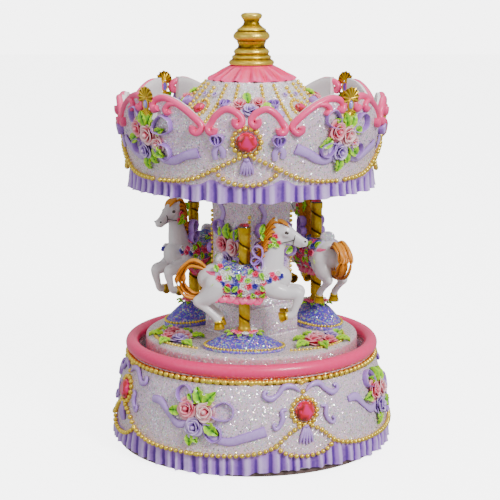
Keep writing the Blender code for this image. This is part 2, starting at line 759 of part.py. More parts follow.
def turntable(axis):
    skirt = 3.1
    bore = SPINDLE_RADIUS + GAP
    ceiling = TURNTABLE_TOP - TURNTABLE_SHELL
    profile = [
        (0, TURNTABLE_TOP),
        (TURNTABLE_RADIUS, TURNTABLE_TOP),
        (TURNTABLE_RADIUS, TURNTABLE_BOTTOM),
        (TURNTABLE_RADIUS - skirt, TURNTABLE_BOTTOM),
        (TURNTABLE_RADIUS - skirt, ceiling),
        (HUB_RADIUS, ceiling),
        (HUB_RADIUS, TURNTABLE_BOTTOM),
        (bore, TURNTABLE_BOTTOM),
        (bore, ceiling - 2.1 + GAP),
        (0, ceiling - 2.1 + GAP),
    ]
    link(turned(profile), "turntable", "glitter", axis)


def column(axis):
    """A square pillar on a stepped plinth that spreads a little under the canopy."""
    ledge = COLUMN_BOTTOM + PLINTH_HEIGHT
    profile = [
        (0, COLUMN_TOP),
        (COLUMN_HALF_DIAGONAL + 2, COLUMN_TOP),
        (COLUMN_HALF_DIAGONAL, COLUMN_TOP - 14.5),
        (COLUMN_HALF_DIAGONAL + 0.3, ledge + 5),
        (COLUMN_HALF_DIAGONAL + 1.7, ledge + 3),
        (PLINTH_HALF_DIAGONAL, ledge),
        (PLINTH_HALF_DIAGONAL, COLUMN_BOTTOM),
        (0, COLUMN_BOTTOM),
    ]
    pillar = turned(profile, 4)
    pillar.matrix_world = Matrix.Rotation(math.radians(COLUMN_TURN - 90), 4, "Z")
    link(pillar, "column", "glitter", axis)


def horse_station(index):
    """A horse's frame in millimetres: +X where it heads, +Z up, its pole at the origin."""
    azimuth = HORSE_TURN + 120 * index
    turn = Matrix.Rotation(math.radians(azimuth), 4, "Z")
    return Matrix.Translation(around(azimuth, HORSE_CIRCLE, 0) * MM) @ turn


def mound(index, axis):
    """The oval hill that a pole stands on."""
    height = MOUND_HEIGHT + HORSE_LIFTS[index]
    shares = ((0, 1), (0.22, 1), (0.5, 0.8), (0.8, 0.42), (0.97, 0.13), (1, 0), (0, 0))
    profile = [(out * MOUND_LENGTH, MOUND_BOTTOM + up * height) for out, up in shares]
    hill = turned(profile, 24)
    hill.data.transform(Matrix.Diagonal((1, MOUND_WIDTH / MOUND_LENGTH, 1, 1)))
    hill.matrix_world = horse_station(index)
    link(hill, f"mound_{index + 1}", "violet_glitter", axis)


def pole(index, axis):
    """The gilt pole of one horse, and the stone set on its top."""
    bottom = MOUND_BOTTOM + MOUND_HEIGHT + HORSE_LIFTS[index] + GAP
    station = horse_station(index)
    rod = cylinder(POLE_RADIUS, POLE_LENGTH, 16, station @ at_height(bottom))
    link(rod, f"pole_{index + 1}", "gold", axis)
    seat = station @ at_height(bottom + POLE_LENGTH + GAP)
    stone = cylinder(POLE_RADIUS - 0.2, POLE_JEWEL_HEIGHT, 12, seat, POLE_RADIUS * 0.6)
    link(stone, f"pole_jewel_{index + 1}", "jewel", axis)


HORSE_TRUNK = [(-17, 89.5, 5.8), (-12, 89.6, 8.0), (-4, 88.8, 7.8), (6, 88.6, 8.0), (13, 89.4, 7.6), (18, 90.5, 5.0)]
HORSE_NECK = [(11, 91, 7.4), (13.2, 98, 6.2), (15.2, 105, 5.0), (16.6, 111, 4.2)]
HORSE_HEAD = [(16.4, 114.2, 4.3), (20, 113.2, 4.2), (24.5, 110.4, 3.1), (28.4, 108, 2.5)]
HORSE_MANE = [(15.5, 118, 2.2), (11, 113, 3.2), (8.5, 106, 3.3), (7.8, 99, 2.8), (8.5, 95, 2.4)]
HORSE_SADDLE = [(-12.5, 97.5, 2.6), (-8, 94.5, 4.8), (2, 94.2, 4.6), (7, 95.5, 2.4)]
HORSE_TAIL = [(-19, 93.5, 2.2), (-24, 96.3, 2.8), (-29.3, 93.5, 3.2), (-30, 88, 3.2), (-26, 82.5, 2.6), (-20.5, 81, 1.6)]
HORSE_FORELEG = [(12, 86.5, 4.6), (19, 84, 3.9), (26.4, 83.8, 3.1), (25.8, 78.5, 2.3), (24, 73.4, 1.9), (19.8, 72.6, 2.1)]
HORSE_HINDLEG = [(-12, 86.5, 5.8), (-16, 82, 4.6), (-22, 79, 2.7), (-17.5, 75, 2.2), (-12.5, 70.4, 1.9), (-11.8, 67, 2.3)]
HORSE_EARS = [(15.6, 116.5, 1.3), (15.2, 120.6, 0.5)]


def limb(stations, side):
    """A round tapering limb through (x, z, radius) stations, at this distance off the horse's middle plane."""
    curve = bpy.data.curves.new("limb", "CURVE")
    curve.dimensions = "3D"
    curve.bevel_depth = MM
    curve.bevel_resolution = 3
    curve.use_fill_caps = True
    spline = curve.splines.new("POLY")
    spline.points.add(len(stations) - 1)
    for point, (x, z, radius) in zip(spline.points, stations):
        point.co = (x * MM, side * MM, z * MM, 1)
        point.radius = radius
    obj = bpy.data.objects.new("limb", curve)
    bpy.context.scene.collection.objects.link(obj)
    return baked(obj)


def ball(x, z, radius, side):
    bpy.ops.mesh.primitive_uv_sphere_add(
        segments=12, ring_count=8, radius=radius * MM, location=(x * MM, side * MM, z * MM)
    )
    return bpy.context.object


def horse_model():
    """One jumping horse: limbs and the balls at their joints, melted together and coarsened."""
    pieces = []
    whole = [HORSE_TRUNK, HORSE_NECK, HORSE_HEAD, HORSE_MANE, HORSE_SADDLE, HORSE_TAIL]
    pairs = [(HORSE_FORELEG, 4.0), (HORSE_HINDLEG, 4.0), (HORSE_EARS, 2.0)]
    chains = [(stations, 0.0) for stations in whole]
    for stations, side in pairs:
        chains += [(stations, side), (stations, -side)]
    bm = bmesh.new()
    for stations, side in chains:
        pieces.append(limb(stations, side))
        pieces += [ball(x, z, radius, side) for x, z, radius in stations]
    bpy.context.view_layer.update()
    for piece in pieces:
        first = len(bm.verts)
        bm.from_mesh(piece.data)
        bm.verts.ensure_lookup_table()
        bmesh.ops.transform(bm, matrix=piece.matrix_world, verts=bm.verts[first:])
        bpy.data.objects.remove(piece, do_unlink=True)
    mesh = bpy.data.meshes.new("horse")
    bm.to_mesh(mesh)
    bm.free()
    obj = bpy.data.objects.new("horse", mesh)
    bpy.context.scene.collection.objects.link(obj)
    melt = obj.modifiers.new("Melt", "REMESH")
    melt.mode = "VOXEL"
    melt.voxel_size = 0.8 * MM
    soften = obj.modifiers.new("Soften", "SMOOTH")
    soften.iterations = 2
    coarsen = obj.modifiers.new("Coarsen", "DECIMATE")
    coarsen.ratio = 0.042
    return baked(obj)


def horses(axis):
    """The three horses. Each is bored for its pole, which passes through it."""
    model = horse_model()
    for index in range(3):
        lift = at_height(HORSE_LIFTS[index] + HORSE_BASE)
        horse = bpy.data.objects.new("horse", model.data.copy())
        bpy.context.scene.collection.objects.link(horse)
        horse.matrix_world = horse_station(index) @ lift
        smooth(horse, 60)
        link(horse, f"horse_{index + 1}", "horse_white", axis)
        bore = cylinder(POLE_RADIUS + GAP, POLE_LENGTH, 16, horse_station(index) @ at_height(MOUND_BOTTOM))
        bore.data.transform(at_height(MOUND_HEIGHT))
        combine(horse, [bore], "DIFFERENCE")
    bpy.data.objects.remove(model, do_unlink=True)


# The horse's stations are drawn for a turntable whose top is at this height.
HORSE_BASE = TURNTABLE_TOP - 55.1


# --- canopy ----------------------------------------------------------------------------------------------


def canopy_outside():
    """The canopy wall's outer side from its top down: it leans out upwards, less and less."""
    rises = ((5.8, 50), (5.8, 39.5), (4.6, 30.5), (3.0, 21.5), (1.1, 12.4), (0, 3.3), (-0.2, 0))
    return [(CANOPY_RADIUS + out, CANOPY_BOTTOM + up) for out, up in rises]


def scallop_height(angle):
    """The wall's height at an angle from the nearest jewel, 0 to 45 degrees: two small arcs, then a large one."""
    valley, centre_valley = 32.5, 35.5
    if angle > 45 - SHELL_HALF_ANGLE + 0.1:
        return 36.7
    if angle <= SMALL_SCALLOP_END:
        share = angle / SMALL_SCALLOP_END
        return centre_valley + (valley - centre_valley) * share + 10.7 * math.sin(math.pi * share) ** 0.7
    share = (angle - SMALL_SCALLOP_END) / (45 - SHELL_HALF_ANGLE - SMALL_SCALLOP_END)
    return valley + 16.6 * math.sin(math.pi / 2 * min(share, 1.0)) ** 0.7


def column_angles():
    """Where the wall's mesh has its columns in one quarter: close together at each valley and beside the shell."""
    small = [SMALL_SCALLOP_END * share for share in (0, 0.18, 0.5, 0.82)]
    edge = 45 - SHELL_HALF_ANGLE
    large = [SMALL_SCALLOP_END + (edge - SMALL_SCALLOP_END) * share for share in (0, 0.12, 0.35, 0.65, 1)]
    half = small + large + [edge + 0.4]
    return half + [45.0] + [90 - angle for angle in reversed(half[1:])]


def valance(axis):
    """The canopy's scalloped wall, turned as an open skin and given its thickness inwards."""
    angles = column_angles()
    count = 4 * len(angles)
    rows = 4
    skin = turned([(CANOPY_RADIUS, row / rows / MM) for row in range(rows, -1, -1)], count, closed=False)
    outside = canopy_outside()
    for vertex in skin.data.vertices:
        x, y, share = vertex.co
        step = round(math.atan2(y, x) / (2 * math.pi / count)) % count
        angle = angles[step % len(angles)]
        azimuth = CANOPY_TURN + 90 * (step // len(angles)) + angle
        height = CANOPY_BOTTOM + share * scallop_height(min(angle, 90 - angle))
        vertex.co = around(azimuth, radius_at(outside, height), height) * MM
    wall = skin.modifiers.new("Wall", "SOLIDIFY")
    wall.thickness = CANOPY_WALL * MM
    wall.offset = -1
    wall.use_even_offset = True
    link(skin, "valance", "glitter", axis)


def canopy_ceiling(axis):
    radius = CANOPY_RADIUS - 0.2 - CANOPY_WALL - 2 * GAP
    top = CEILING_BOTTOM + DECK_DISC_THICKNESS
    profile = [(0, top), (radius, top), (radius - 0.4, CEILING_BOTTOM), (0, CEILING_BOTTOM)]
    link(turned(profile), "canopy_ceiling", "glitter", axis)


def roof_dome(axis):
    """The roof: a bell shaped shell that sweeps out from the collar to the inside of the wall."""
    rim = radius_at(canopy_outside(), DOME_RIM_HEIGHT - DOME_WALL / 2) - CANOPY_WALL - 2 * GAP
    fall = DOME_TOP - DOME_RIM_HEIGHT
    spread = rim - COLLAR_RADIUS
    shares = ((0, 0), (0.14, 0.23), (0.24, 0.39), (0.47, 0.65), (0.73, 0.86), (1, 1))
    top_side = [(COLLAR_RADIUS + spread * out, DOME_TOP - fall * down) for out, down in shares]
    under = [(radius - 2 if radius > COLLAR_RADIUS else radius - 4, z - DOME_WALL) for radius, z in top_side]
    profile = [(0, DOME_TOP), *top_side, (rim - 1, DOME_RIM_HEIGHT - DOME_WALL), *reversed(under[:-1])]
    link(turned([*profile, (0, DOME_TOP - DOME_WALL)], 40), "roof_dome", "glitter", axis)


def collar(axis):
    """The pleated skirt below the finial: a cone whose pleats run down to its hem."""
    profile = [
        (0, COLLAR_TOP),
        (FINIAL_RADIUS, COLLAR_TOP),
        (COLLAR_RADIUS - 1.2, COLLAR_BOTTOM + 1.6),
        (COLLAR_RADIUS, COLLAR_BOTTOM),
        (0, COLLAR_BOTTOM),
    ]
    pleats = 16
    skirt = turned(profile, 4 * pleats)
    for vertex in skirt.data.vertices:
        x, y, z = vertex.co
        radius = math.hypot(x, y)
        if radius < (FINIAL_RADIUS + 1) * MM:
            continue
        ripple = 1 + 0.025 * math.cos(pleats * math.atan2(y, x))
        vertex.co = (x * ripple, y * ripple, z)
    link(skirt, "collar", "pink", axis)


def finial(axis):
    """The gilt finial: stacked turned swellings with a flat cap, as (radius, height above its seat)."""
    swellings = [
        (0, 25.1),
        (4.6, 25.1),
        (5.3, 24.2),
        (5.3, 23.2),
        (3.8, 20.8),
        (4.2, 19.4),
        (7.1, 16.9),
        (9.0, 13.6),
        (7.2, 11.3),
        (6.6, 8.6),
        (8.9, 6.0),
        (8.2, 4.7),
        (9.8, 3.3),
        (FINIAL_RADIUS, 1.2),
        (FINIAL_RADIUS, 0),
        (0, 0),
    ]
    profile = [(radius, FINIAL_BOTTOM + height) for radius, height in swellings]
    link(turned(profile, 20), "finial", "gold", axis)


def shell_outline():
    """A scallop shell seen from the front: a narrow hinge and a fan of lobes."""
    half = SHELL_WIDTH / 2
    fan_centre = SHELL_HEIGHT - half * 1.05
    outline = [(-1.6, 0.0), (1.6, 0.0), (2.2, 2.2)]
    lobes, steps = 5, 3
    for step in range(lobes * steps + 1):
        angle = math.radians(-25 + 230 * step / (lobes * steps))
        reach = half * (1.0 if step % steps else 0.9)
        outline.append((reach * math.cos(angle), fan_centre + reach * 1.05 * math.sin(angle)))
    return outline + [(-2.2, 2.2)]


def shells(axis):
    """The gilt shell in each corner notch of the wall."""
    height = CANOPY_BOTTOM + scallop_height(45) + GAP
    lean = math.radians(slope_at(canopy_outside(), height))
    height -= CANOPY_WALL * math.sin(lean)
    radius = radius_at(canopy_outside(), height) - SHELL_THICKNESS
    for index in range(4):
        frame = facing(CANOPY_TURN + 45 + 90 * index, radius, height)
        link(plate([shell_outline()], SHELL_THICKNESS, frame), f"shell_{index + 1}", "gold", axis)


# --- assembly --------------------------------------------------------------------------------------------


def build_base():
    base_shell()
    rim_ring()
    bottom_plate()
    plate_screws()
    wall_jewels("base_jewel", base_outside(), BASE_TURN, BASE_JEWEL_HEIGHT)
    spindle_bushing()
    movement_bed()
    bearing_plates()
    governor_frame()
    comb()
    comb_block()
    comb_screws()


def build_movement(axis):
    winding_key()
    spring_barrel(axis)
    mainspring(axis)
    crown_wheel(axis)
    drive_spindle(axis)
    pin_cylinder()
    idler()
    governor()


def build_carousel(axis):
    turntable(axis)
    column(axis)
    for index in range(3):
        mound(index, axis)
        pole(index, axis)
    horses(axis)
    canopy_ceiling(axis)
    valance(axis)
    roof_dome(axis)
    collar(axis)
    finial(axis)
    shells(axis)
    height = CANOPY_BOTTOM + CANOPY_JEWEL_LIFT
    wall_jewels("canopy_jewel", canopy_outside(), CANOPY_TURN, height, axis)


clear_scene()
PARTS = new_collection("carousel_music_box")
CUTTERS = new_collection("cutters")
CUTTERS.hide_render = True
CAROUSEL_AXIS = axis_empty("carousel_axis", (0, 0, TURNTABLE_BOTTOM))
build_base()
build_movement(CAROUSEL_AXIS)
build_carousel(CAROUSEL_AXIS)
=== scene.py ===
"""The looks of a carousel music box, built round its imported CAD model.

Shapes are drawn in millimetres and become metres when a piece is made. Azimuths are in degrees from the
front (-Y) towards +X. Ornaments are drawn flat, as (right, up, out) points, and a seat lays them on the
surface that they decorate. Each sub-assembly is a class that holds its sizes, builds its meshes and dresses
them.
"""

import json
import logging
import math
import random
from collections.abc import Callable, Sequence
from dataclasses import dataclass, field, replace
from enum import Enum

import bmesh
import bpy
import numpy as np
from mathutils import Matrix, Vector


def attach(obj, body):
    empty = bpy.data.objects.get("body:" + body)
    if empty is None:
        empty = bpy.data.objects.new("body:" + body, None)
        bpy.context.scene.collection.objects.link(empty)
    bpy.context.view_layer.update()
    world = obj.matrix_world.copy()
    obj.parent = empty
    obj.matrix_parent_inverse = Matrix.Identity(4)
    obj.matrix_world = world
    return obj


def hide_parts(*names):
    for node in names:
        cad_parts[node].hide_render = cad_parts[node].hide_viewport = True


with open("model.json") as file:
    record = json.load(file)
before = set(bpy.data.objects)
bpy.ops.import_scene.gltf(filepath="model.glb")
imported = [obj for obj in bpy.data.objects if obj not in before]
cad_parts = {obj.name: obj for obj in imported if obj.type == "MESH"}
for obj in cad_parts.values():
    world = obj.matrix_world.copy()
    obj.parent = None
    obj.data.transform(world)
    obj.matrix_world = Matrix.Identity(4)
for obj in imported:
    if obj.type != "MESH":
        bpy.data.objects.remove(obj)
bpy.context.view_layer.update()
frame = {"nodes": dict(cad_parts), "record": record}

MM = 0.001
Color = tuple[float, float, float]
Row = tuple[float, ...]
Seat = Callable[[np.ndarray], np.ndarray]
Socket = bpy.types.NodeSocket
Tree = bpy.types.NodeTree
log = logging.getLogger("carousel_music_box")


# Node trees.


class Board:
    """A node tree with short calls that add nodes and wire them."""

    def __init__(self, tree: Tree) -> None:
        """Wraps a tree."""
        self.tree = tree

    def add(self, kind: str, ins: dict | None = None, out: int | str = 0, **settings: object) -> Socket:
        """Adds a node, sets or wires its inputs, and gives one of its outputs.

        Args:
            kind: The node's type.
            ins: Values or sockets for its inputs, by name or number.
            out: Which output to give.
            **settings: The node's own properties.

        Returns:
            The chosen output socket.
        """
        node = self.tree.nodes.new(kind)
        for name, value in settings.items():
            setattr(node, name, value)
        self.fill(node, ins or {})
        return node.outputs[out]

    def fill(self, node: bpy.types.Node, ins: dict) -> None:
        """Sets or wires a node's inputs, by name or number.

        Args:
            node: The node.
            ins: Values or sockets, by input.
        """
        for key, value in ins.items():
            if isinstance(value, Socket):
                self.tree.links.new(value, node.inputs[key])
            else:
                node.inputs[key].default_value = value

    def math(self, operation: str, *values: object) -> Socket:
        """Adds a Math node for this operation on these values or sockets."""
        return self.add("ShaderNodeMath", dict(enumerate(values)), operation=operation)

    def vector(self, operation: str, *values: object, out: int | str = 0) -> Socket:
        """Adds a Vector Math node for this operation on these values or sockets."""
        return self.add("ShaderNodeVectorMath", dict(enumerate(values)), out, operation=operation)

    def scaled(self, vector: object, share: object) -> Socket:
        """Scales a vector or a colour."""
        return self.add("ShaderNodeVectorMath", {0: vector, "Scale": share}, operation="SCALE")

    def mix(self, share: object, first: object, second: object) -> Socket:
        """Mixes two colours by a share from 0 to 1."""
        return self.add("ShaderNodeMix", {0: share, 6: first, 7: second}, 2, data_type="RGBA")

    def blend(self, share: object, first: object, second: object) -> Socket:
        """Mixes two numbers by a share from 0 to 1."""
        return self.add("ShaderNodeMix", {0: share, 2: first, 3: second}, 0, data_type="FLOAT")

    def ramp(self, value: object, low: float, high: float) -> Socket:
        """Maps a value from low..high to 0..1, smoothly and clamped."""
        return self.add(
            "ShaderNodeMapRange", {0: value, 1: low, 2: high}, interpolation_type="SMOOTHSTEP"
        )

    def group(self, tree: Tree, ins: dict) -> bpy.types.Node:
        """Places a shader node group and gives its node, whose outputs are read by name.

        Args:
            tree: The group.
            ins: Values or sockets, by input.

        Returns:
            The node.
        """
        node = self.tree.nodes.new("ShaderNodeGroup")
        node.node_tree = tree
        self.fill(node, ins)
        return node


def new_tree(
    name: str, kind: str, ins: dict[str, str], outs: dict[str, str]
) -> tuple[Board, dict, Callable]:
    """Starts a node group with named sockets.

    Args:
        name: The group's name.
        kind: ShaderNodeTree or GeometryNodeTree.
        ins: Socket type of each input.
        outs: Socket type of each output.

    Returns:
        The board to work on, the input sockets by name, and a function that wires the outputs by name.
    """
    tree = bpy.data.node_groups.new(name, kind)
    for side, sockets in (("INPUT", ins), ("OUTPUT", outs)):
        for socket, socket_type in sockets.items():
            tree.interface.new_socket(socket, in_out=side, socket_type=socket_type)
    board = Board(tree)
    entry = tree.nodes.new("NodeGroupInput")
    leave = tree.nodes.new("NodeGroupOutput")

    def finish(results: dict[str, Socket]) -> None:
        """Wires the group's outputs."""
        for socket, value in results.items():
            tree.links.new(value, leave.inputs[socket])

    return board, {socket: entry.outputs[socket] for socket in ins}, finish


FLOAT, COLOR, VECTOR, WHOLE = "NodeSocketFloat", "NodeSocketColor", "NodeSocketVector", "NodeSocketInt"
GEOMETRY, MATERIAL, OBJECT = "NodeSocketGeometry", "NodeSocketMaterial", "NodeSocketObject"


# Finishes.


COLOR_DEPTH = 1.3
BUMP_STRENGTH = 0.6
FLAKE_GLOSS = 0.2
FLAKE_METAL = 0.35
HOLLOW_DULLNESS = 0.25
COAT_ROUGHNESS = 0.08


def paint(color: Color) -> tuple[float, float, float, float]:
    """Turns 0..255 display values into linear ones, a little deeper to hold up in bright light.

    Args:
        color: The display values.

    Returns:
        Red, green, blue and alpha.
    """
    shares = [value / 255 for value in color]
    linear = [s / 12.92 if s <= 0.04045 else ((s + 0.055) / 1.055) ** 2.4 for s in shares]
    grey = sum(linear) / 3
    return (*(min(max(grey + COLOR_DEPTH * (value - grey), 0.0), 1.0) for value in linear), 1.0)


def shade_highlight_paint_group() -> Tree:
    """The group that paints shade into hollows and highlight onto crests, with antique patina in the hollows
    of gilt, and a ragged border between them.

    Returns:
        The shader node group.
    """
    ins = {
        "Vector": VECTOR, "Relief": FLOAT, "Hollow": COLOR, "Body": COLOR, "Crest": COLOR, "Ragged": FLOAT
    }
    board, get, finish = new_tree("relief_paint", "ShaderNodeTree", ins, {"Color": COLOR, "Depth": FLOAT})
    noise = board.add("ShaderNodeTexNoise", {"Vector": get["Vector"], "Scale": 700.0, "Detail": 3.0})
    shift = board.math("MULTIPLY", board.math("SUBTRACT", noise, 0.5), get["Ragged"])
    relief = board.math("ADD", get["Relief"], shift)
    # Depth is the share of painted shade in the hollows, with antique patina on gilt; the crest share below
    # is painted highlight.
    depth = board.ramp(relief, 0.5, 0.05)
    crest_highlight = board.ramp(relief, 0.5, 0.95)
    color = board.mix(crest_highlight, board.mix(depth, get["Body"], get["Hollow"]), get["Crest"])
    finish({"Color": color, "Depth": depth})
    return board.tree


def grain_group() -> Tree:
    """The group that gives a cast surface its uneven tone and small bumps.

    Returns:
        The shader node group.
    """
    ins = {"Vector": VECTOR, "Color": COLOR, "Size": FLOAT, "Amount": FLOAT}
    board, get, finish = new_tree("cast_grain", "ShaderNodeTree", ins, {"Color": COLOR, "Height": FLOAT})
    scale = board.math("DIVIDE", 1.0, get["Size"])
    fine = board.add("ShaderNodeTexNoise", {"Vector": get["Vector"], "Scale": scale, "Detail": 4.0})
    broad_scale = board.math("MULTIPLY", scale, 0.12)
    broad = board.add("ShaderNodeTexNoise", {"Vector": get["Vector"], "Scale": broad_scale, "Detail": 2.0})
    both = board.math("ADD", board.math("MULTIPLY", fine, 0.5), board.math("MULTIPLY", broad, 0.5))
    tone = board.math("ADD", 1.0, board.math("MULTIPLY", board.math("SUBTRACT", both, 0.5), get["Amount"]))
    finish({"Color": board.scaled(get["Color"], tone), "Height": fine})
    return board.tree


def glitter_group() -> Tree:
    """The group that scatters glitter flakes: each cell of a fine net is one flake, or bare paint.

    Returns:
        The shader node group.
    """
    ins = {
        "Vector": VECTOR,
        "Color": COLOR,
        "Flake Size": FLOAT,
        "Cover": FLOAT,
        "Rainbow": FLOAT,
        "Gloss": FLOAT,
        "Scatter": FLOAT,
    }
    outs = {"Color": COLOR, "Flake": FLOAT, "Roughness": FLOAT, "Normal": VECTOR}
    board, get, finish = new_tree("glitter_flakes", "ShaderNodeTree", ins, outs)
    scale = board.math("DIVIDE", 1.0, get["Flake Size"])
    cells = {"Vector": get["Vector"], "Scale": scale}
    dice = board.add("ShaderNodeTexVoronoi", cells, "Color")
    place = board.add("ShaderNodeTexVoronoi", cells, "Position")
    luck = board.add("ShaderNodeTexWhiteNoise", {"Vector": place}, "Value")
    second = board.add(
        "ShaderNodeTexWhiteNoise", {"Vector": board.vector("ADD", place, (1.3, 0.7, 2.1))}, "Value"
    )
    patches = board.add("ShaderNodeTexNoise", {"Vector": get["Vector"], "Scale": 90.0, "Detail": 2.0})
    cover = board.math(
        "MULTIPLY", get["Cover"], board.math("ADD", 0.35, board.math("MULTIPLY", patches, 1.3))
    )
    flake = board.math("LESS_THAN", luck, cover)
    hue = board.add(
        "ShaderNodeCombineColor",
        {0: second, 1: get["Rainbow"], 2: board.math("ADD", 0.72, board.math("MULTIPLY", luck, 1.1))},
        mode="HSV",
    )
    color = board.mix(board.math("MULTIPLY", flake, 0.75), get["Color"], hue)
    tilt = board.scaled(
        board.vector("SUBTRACT", dice, (0.5, 0.5, 0.5)), board.math("MULTIPLY", get["Scatter"], flake)
    )
    normal = board.add("ShaderNodeNewGeometry", out="Normal")
    normal = board.vector("NORMALIZE", board.vector("ADD", normal, tilt))
    rough = board.blend(flake, 0.6, get["Gloss"])
    finish({"Color": color, "Flake": flake, "Roughness": rough, "Normal": normal})
    return board.tree


class Relief(Enum):
    """Where a finish reads its hollows and crests from, which take its painted shade and its painted
    highlight.
    """

    SHAPE = "pointiness"
    EDGE = "rim"


@dataclass(frozen=True)
class Finish:
    """A painted, gilt, glittered, cut or machined surface. Its colours are 0..255 display values: its body
    colour, the colour painted into hollows as shade (with antique patina on gilt), and the colour painted
    onto crests as highlight.
    """

    name: str
    slot: str
    body: Color
    hollow_shade_and_patina: Color
    crest_highlight: Color
    relief: Relief = Relief.SHAPE
    ragged: float = 0.25
    sharpness: float = 0.06
    roughness: float = 0.4
    metallic: float = 0.0
    coat: float = 0.0
    grain: float = 0.12
    grain_size: float = 0.6
    bump: float = 0.1
    glitter: float = 0.0
    flake: float = 0.55
    rainbow: float = 0.3
    scatter: float = 1.0

    def material(self) -> bpy.types.Material:
        """Builds the material, or gives the one that is there.

        Returns:
            The material of this finish.
        """
        made = bpy.data.materials.get(f"{self.name}_finish")
        if made is not None:
            return made
        made = bpy.data.materials.new(f"{self.name}_finish")
        made.use_nodes = True
        made.diffuse_color = paint(self.body)
        board = Board(made.node_tree)
        shader = made.node_tree.nodes["Principled BSDF"]
        place = board.add("ShaderNodeTexCoord", out="Object")
        # The relief share runs from painted shade in hollows through the body colour to painted highlight on
        # crests.
        if self.relief is Relief.EDGE:
            relief = board.add("ShaderNodeAttribute", out="Fac", attribute_name=self.relief.value)
        else:
            point = board.add("ShaderNodeNewGeometry", out="Pointiness")
            relief = board.ramp(point, 0.5 - self.sharpness, 0.5 + self.sharpness)
        ins = {"Vector": place, "Relief": relief, "Ragged": self.ragged}
        for socket, color in (("Hollow", self.hollow_shade_and_patina), ("Body", self.body), ("Crest", self.crest_highlight)):
            ins[socket] = paint(color)
        painted = board.group(bpy.data.node_groups["relief_paint"], ins)
        ins = {
            "Vector": place,
            "Color": painted.outputs["Color"],
            "Size": self.grain_size * MM,
            "Amount": self.grain,
        }
        grain = board.group(bpy.data.node_groups["cast_grain"], ins)
        color = grain.outputs["Color"]
        bump = {"Strength": BUMP_STRENGTH, "Distance": self.bump * MM, "Height": grain.outputs["Height"]}
        links = made.node_tree.links
        if self.glitter:
            ins = {
                "Vector": place,
                "Color": color,
                "Flake Size": self.flake * MM,
                "Cover": self.glitter,
                "Rainbow": self.rainbow,
                "Gloss": FLAKE_GLOSS,
                "Scatter": self.scatter,
            }
            flakes = board.group(bpy.data.node_groups["glitter_flakes"], ins)
            color = flakes.outputs["Color"]
            links.new(flakes.outputs["Roughness"], shader.inputs["Roughness"])
            links.new(
                board.math("MULTIPLY", flakes.outputs["Flake"], FLAKE_METAL), shader.inputs["Metallic"]
            )
            bump["Normal"] = flakes.outputs["Normal"]
        else:
            worn = board.math("MULTIPLY", painted.outputs["Depth"], HOLLOW_DULLNESS)
            links.new(board.math("ADD", worn, self.roughness), shader.inputs["Roughness"])
            shader.inputs["Metallic"].default_value = self.metallic
        links.new(color, shader.inputs["Base Color"])
        links.new(board.add("ShaderNodeBump", bump), shader.inputs["Normal"])
        shader.inputs["Coat Weight"].default_value = self.coat
        shader.inputs["Coat Roughness"].default_value = COAT_ROUGHNESS
        return made

    def tinted(self, name: str, slot: str, body: Color, hollow_shade_and_patina: Color, crest_highlight: Color) -> "Finish":
        """The same finish under another name, on another slot and in other colours."""
        return replace(self, name=name, slot=slot, body=body, hollow_shade_and_patina=hollow_shade_and_patina, crest_highlight=crest_highlight)


# Each finish gives its body colour, then its hollow colour, painted shade (with antique patina on the
# gilts), then its crest colour, painted highlight.
PALE_GLITTER = Finish(
    "pale_glitter", "glitter_resin", (226, 202, 220), (170, 140, 160), (240, 228, 238),
    glitter=0.5, rainbow=0.32,
)
ROOF_GLITTER = replace(PALE_GLITTER, name="roof_glitter", body=(222, 210, 218), glitter=0.5)
TABLE_GLITTER = Finish(
    "turntable_glitter", "glitter_resin", (214, 178, 186), (196, 128, 146), (222, 205, 208),
    Relief.EDGE, glitter=0.4, flake=0.5,
)
VIOLET_GLITTER = Finish(
    "violet_glitter", "violet_glitter", (92, 78, 176), (48, 38, 104), (124, 110, 204),
    glitter=0.36, flake=0.6, rainbow=0.55,
)
SADDLE_GLITTER = replace(VIOLET_GLITTER, name="saddle_glitter", slot="white_resin", body=(70, 72, 140))
PINK_GLOSS = Finish(
    "pink_gloss", "pink_resin", (236, 72, 120), (184, 30, 76), (248, 112, 150),
    roughness=0.34, coat=0.25, grain=0.06, bump=0.05,
)
LAVENDER = Finish(
    "lavender_paint", "glitter_resin", (174, 138, 210), (98, 66, 146), (212, 190, 236),
    Relief.EDGE, roughness=0.35, coat=0.2,
)
GILT = Finish(
    "antique_gilt", "gilt_resin", (192, 158, 68), (66, 48, 14), (238, 214, 124),
    roughness=0.34, metallic=0.85, grain=0.2, sharpness=0.05,
)
HORSE_WHITE = Finish(
    "horse_white", "white_resin", (230, 226, 228), (150, 138, 140), (244, 242, 243),
    roughness=0.32, coat=0.25, grain=0.05, bump=0.04, sharpness=0.1,
)
MANE = Finish(
    "mane_orange", "white_resin", (208, 138, 58), (124, 66, 16), (240, 190, 116),
    Relief.EDGE, roughness=0.4,
)
LEAF = Finish(
    "leaf_lime", "glitter_resin", (134, 200, 36), (36, 96, 14), (190, 232, 70),
    Relief.EDGE, roughness=0.35, coat=0.2, grain=0.2,
)
ROSE_PINK = Finish(
    "rose_pink", "glitter_resin", (232, 130, 150), (176, 44, 78), (250, 190, 198),
    Relief.EDGE, roughness=0.38, coat=0.15,
)
ROSE_BLUSH = ROSE_PINK.tinted(
    "rose_blush", "glitter_resin", (240, 182, 190), (206, 96, 116), (252, 224, 226)
)
ROSE_LAVENDER = ROSE_PINK.tinted(
    "rose_lavender", "glitter_resin", (184, 156, 214), (92, 66, 136), (222, 204, 238)
)
FRILL_PINK = ROSE_PINK.tinted("frill_pink", "white_resin", (242, 96, 140), (206, 44, 90), (252, 156, 182))
HOT_PINK = ROSE_PINK.tinted("blossom_pink", "white_resin", (228, 62, 110), (160, 14, 50), (248, 140, 165))
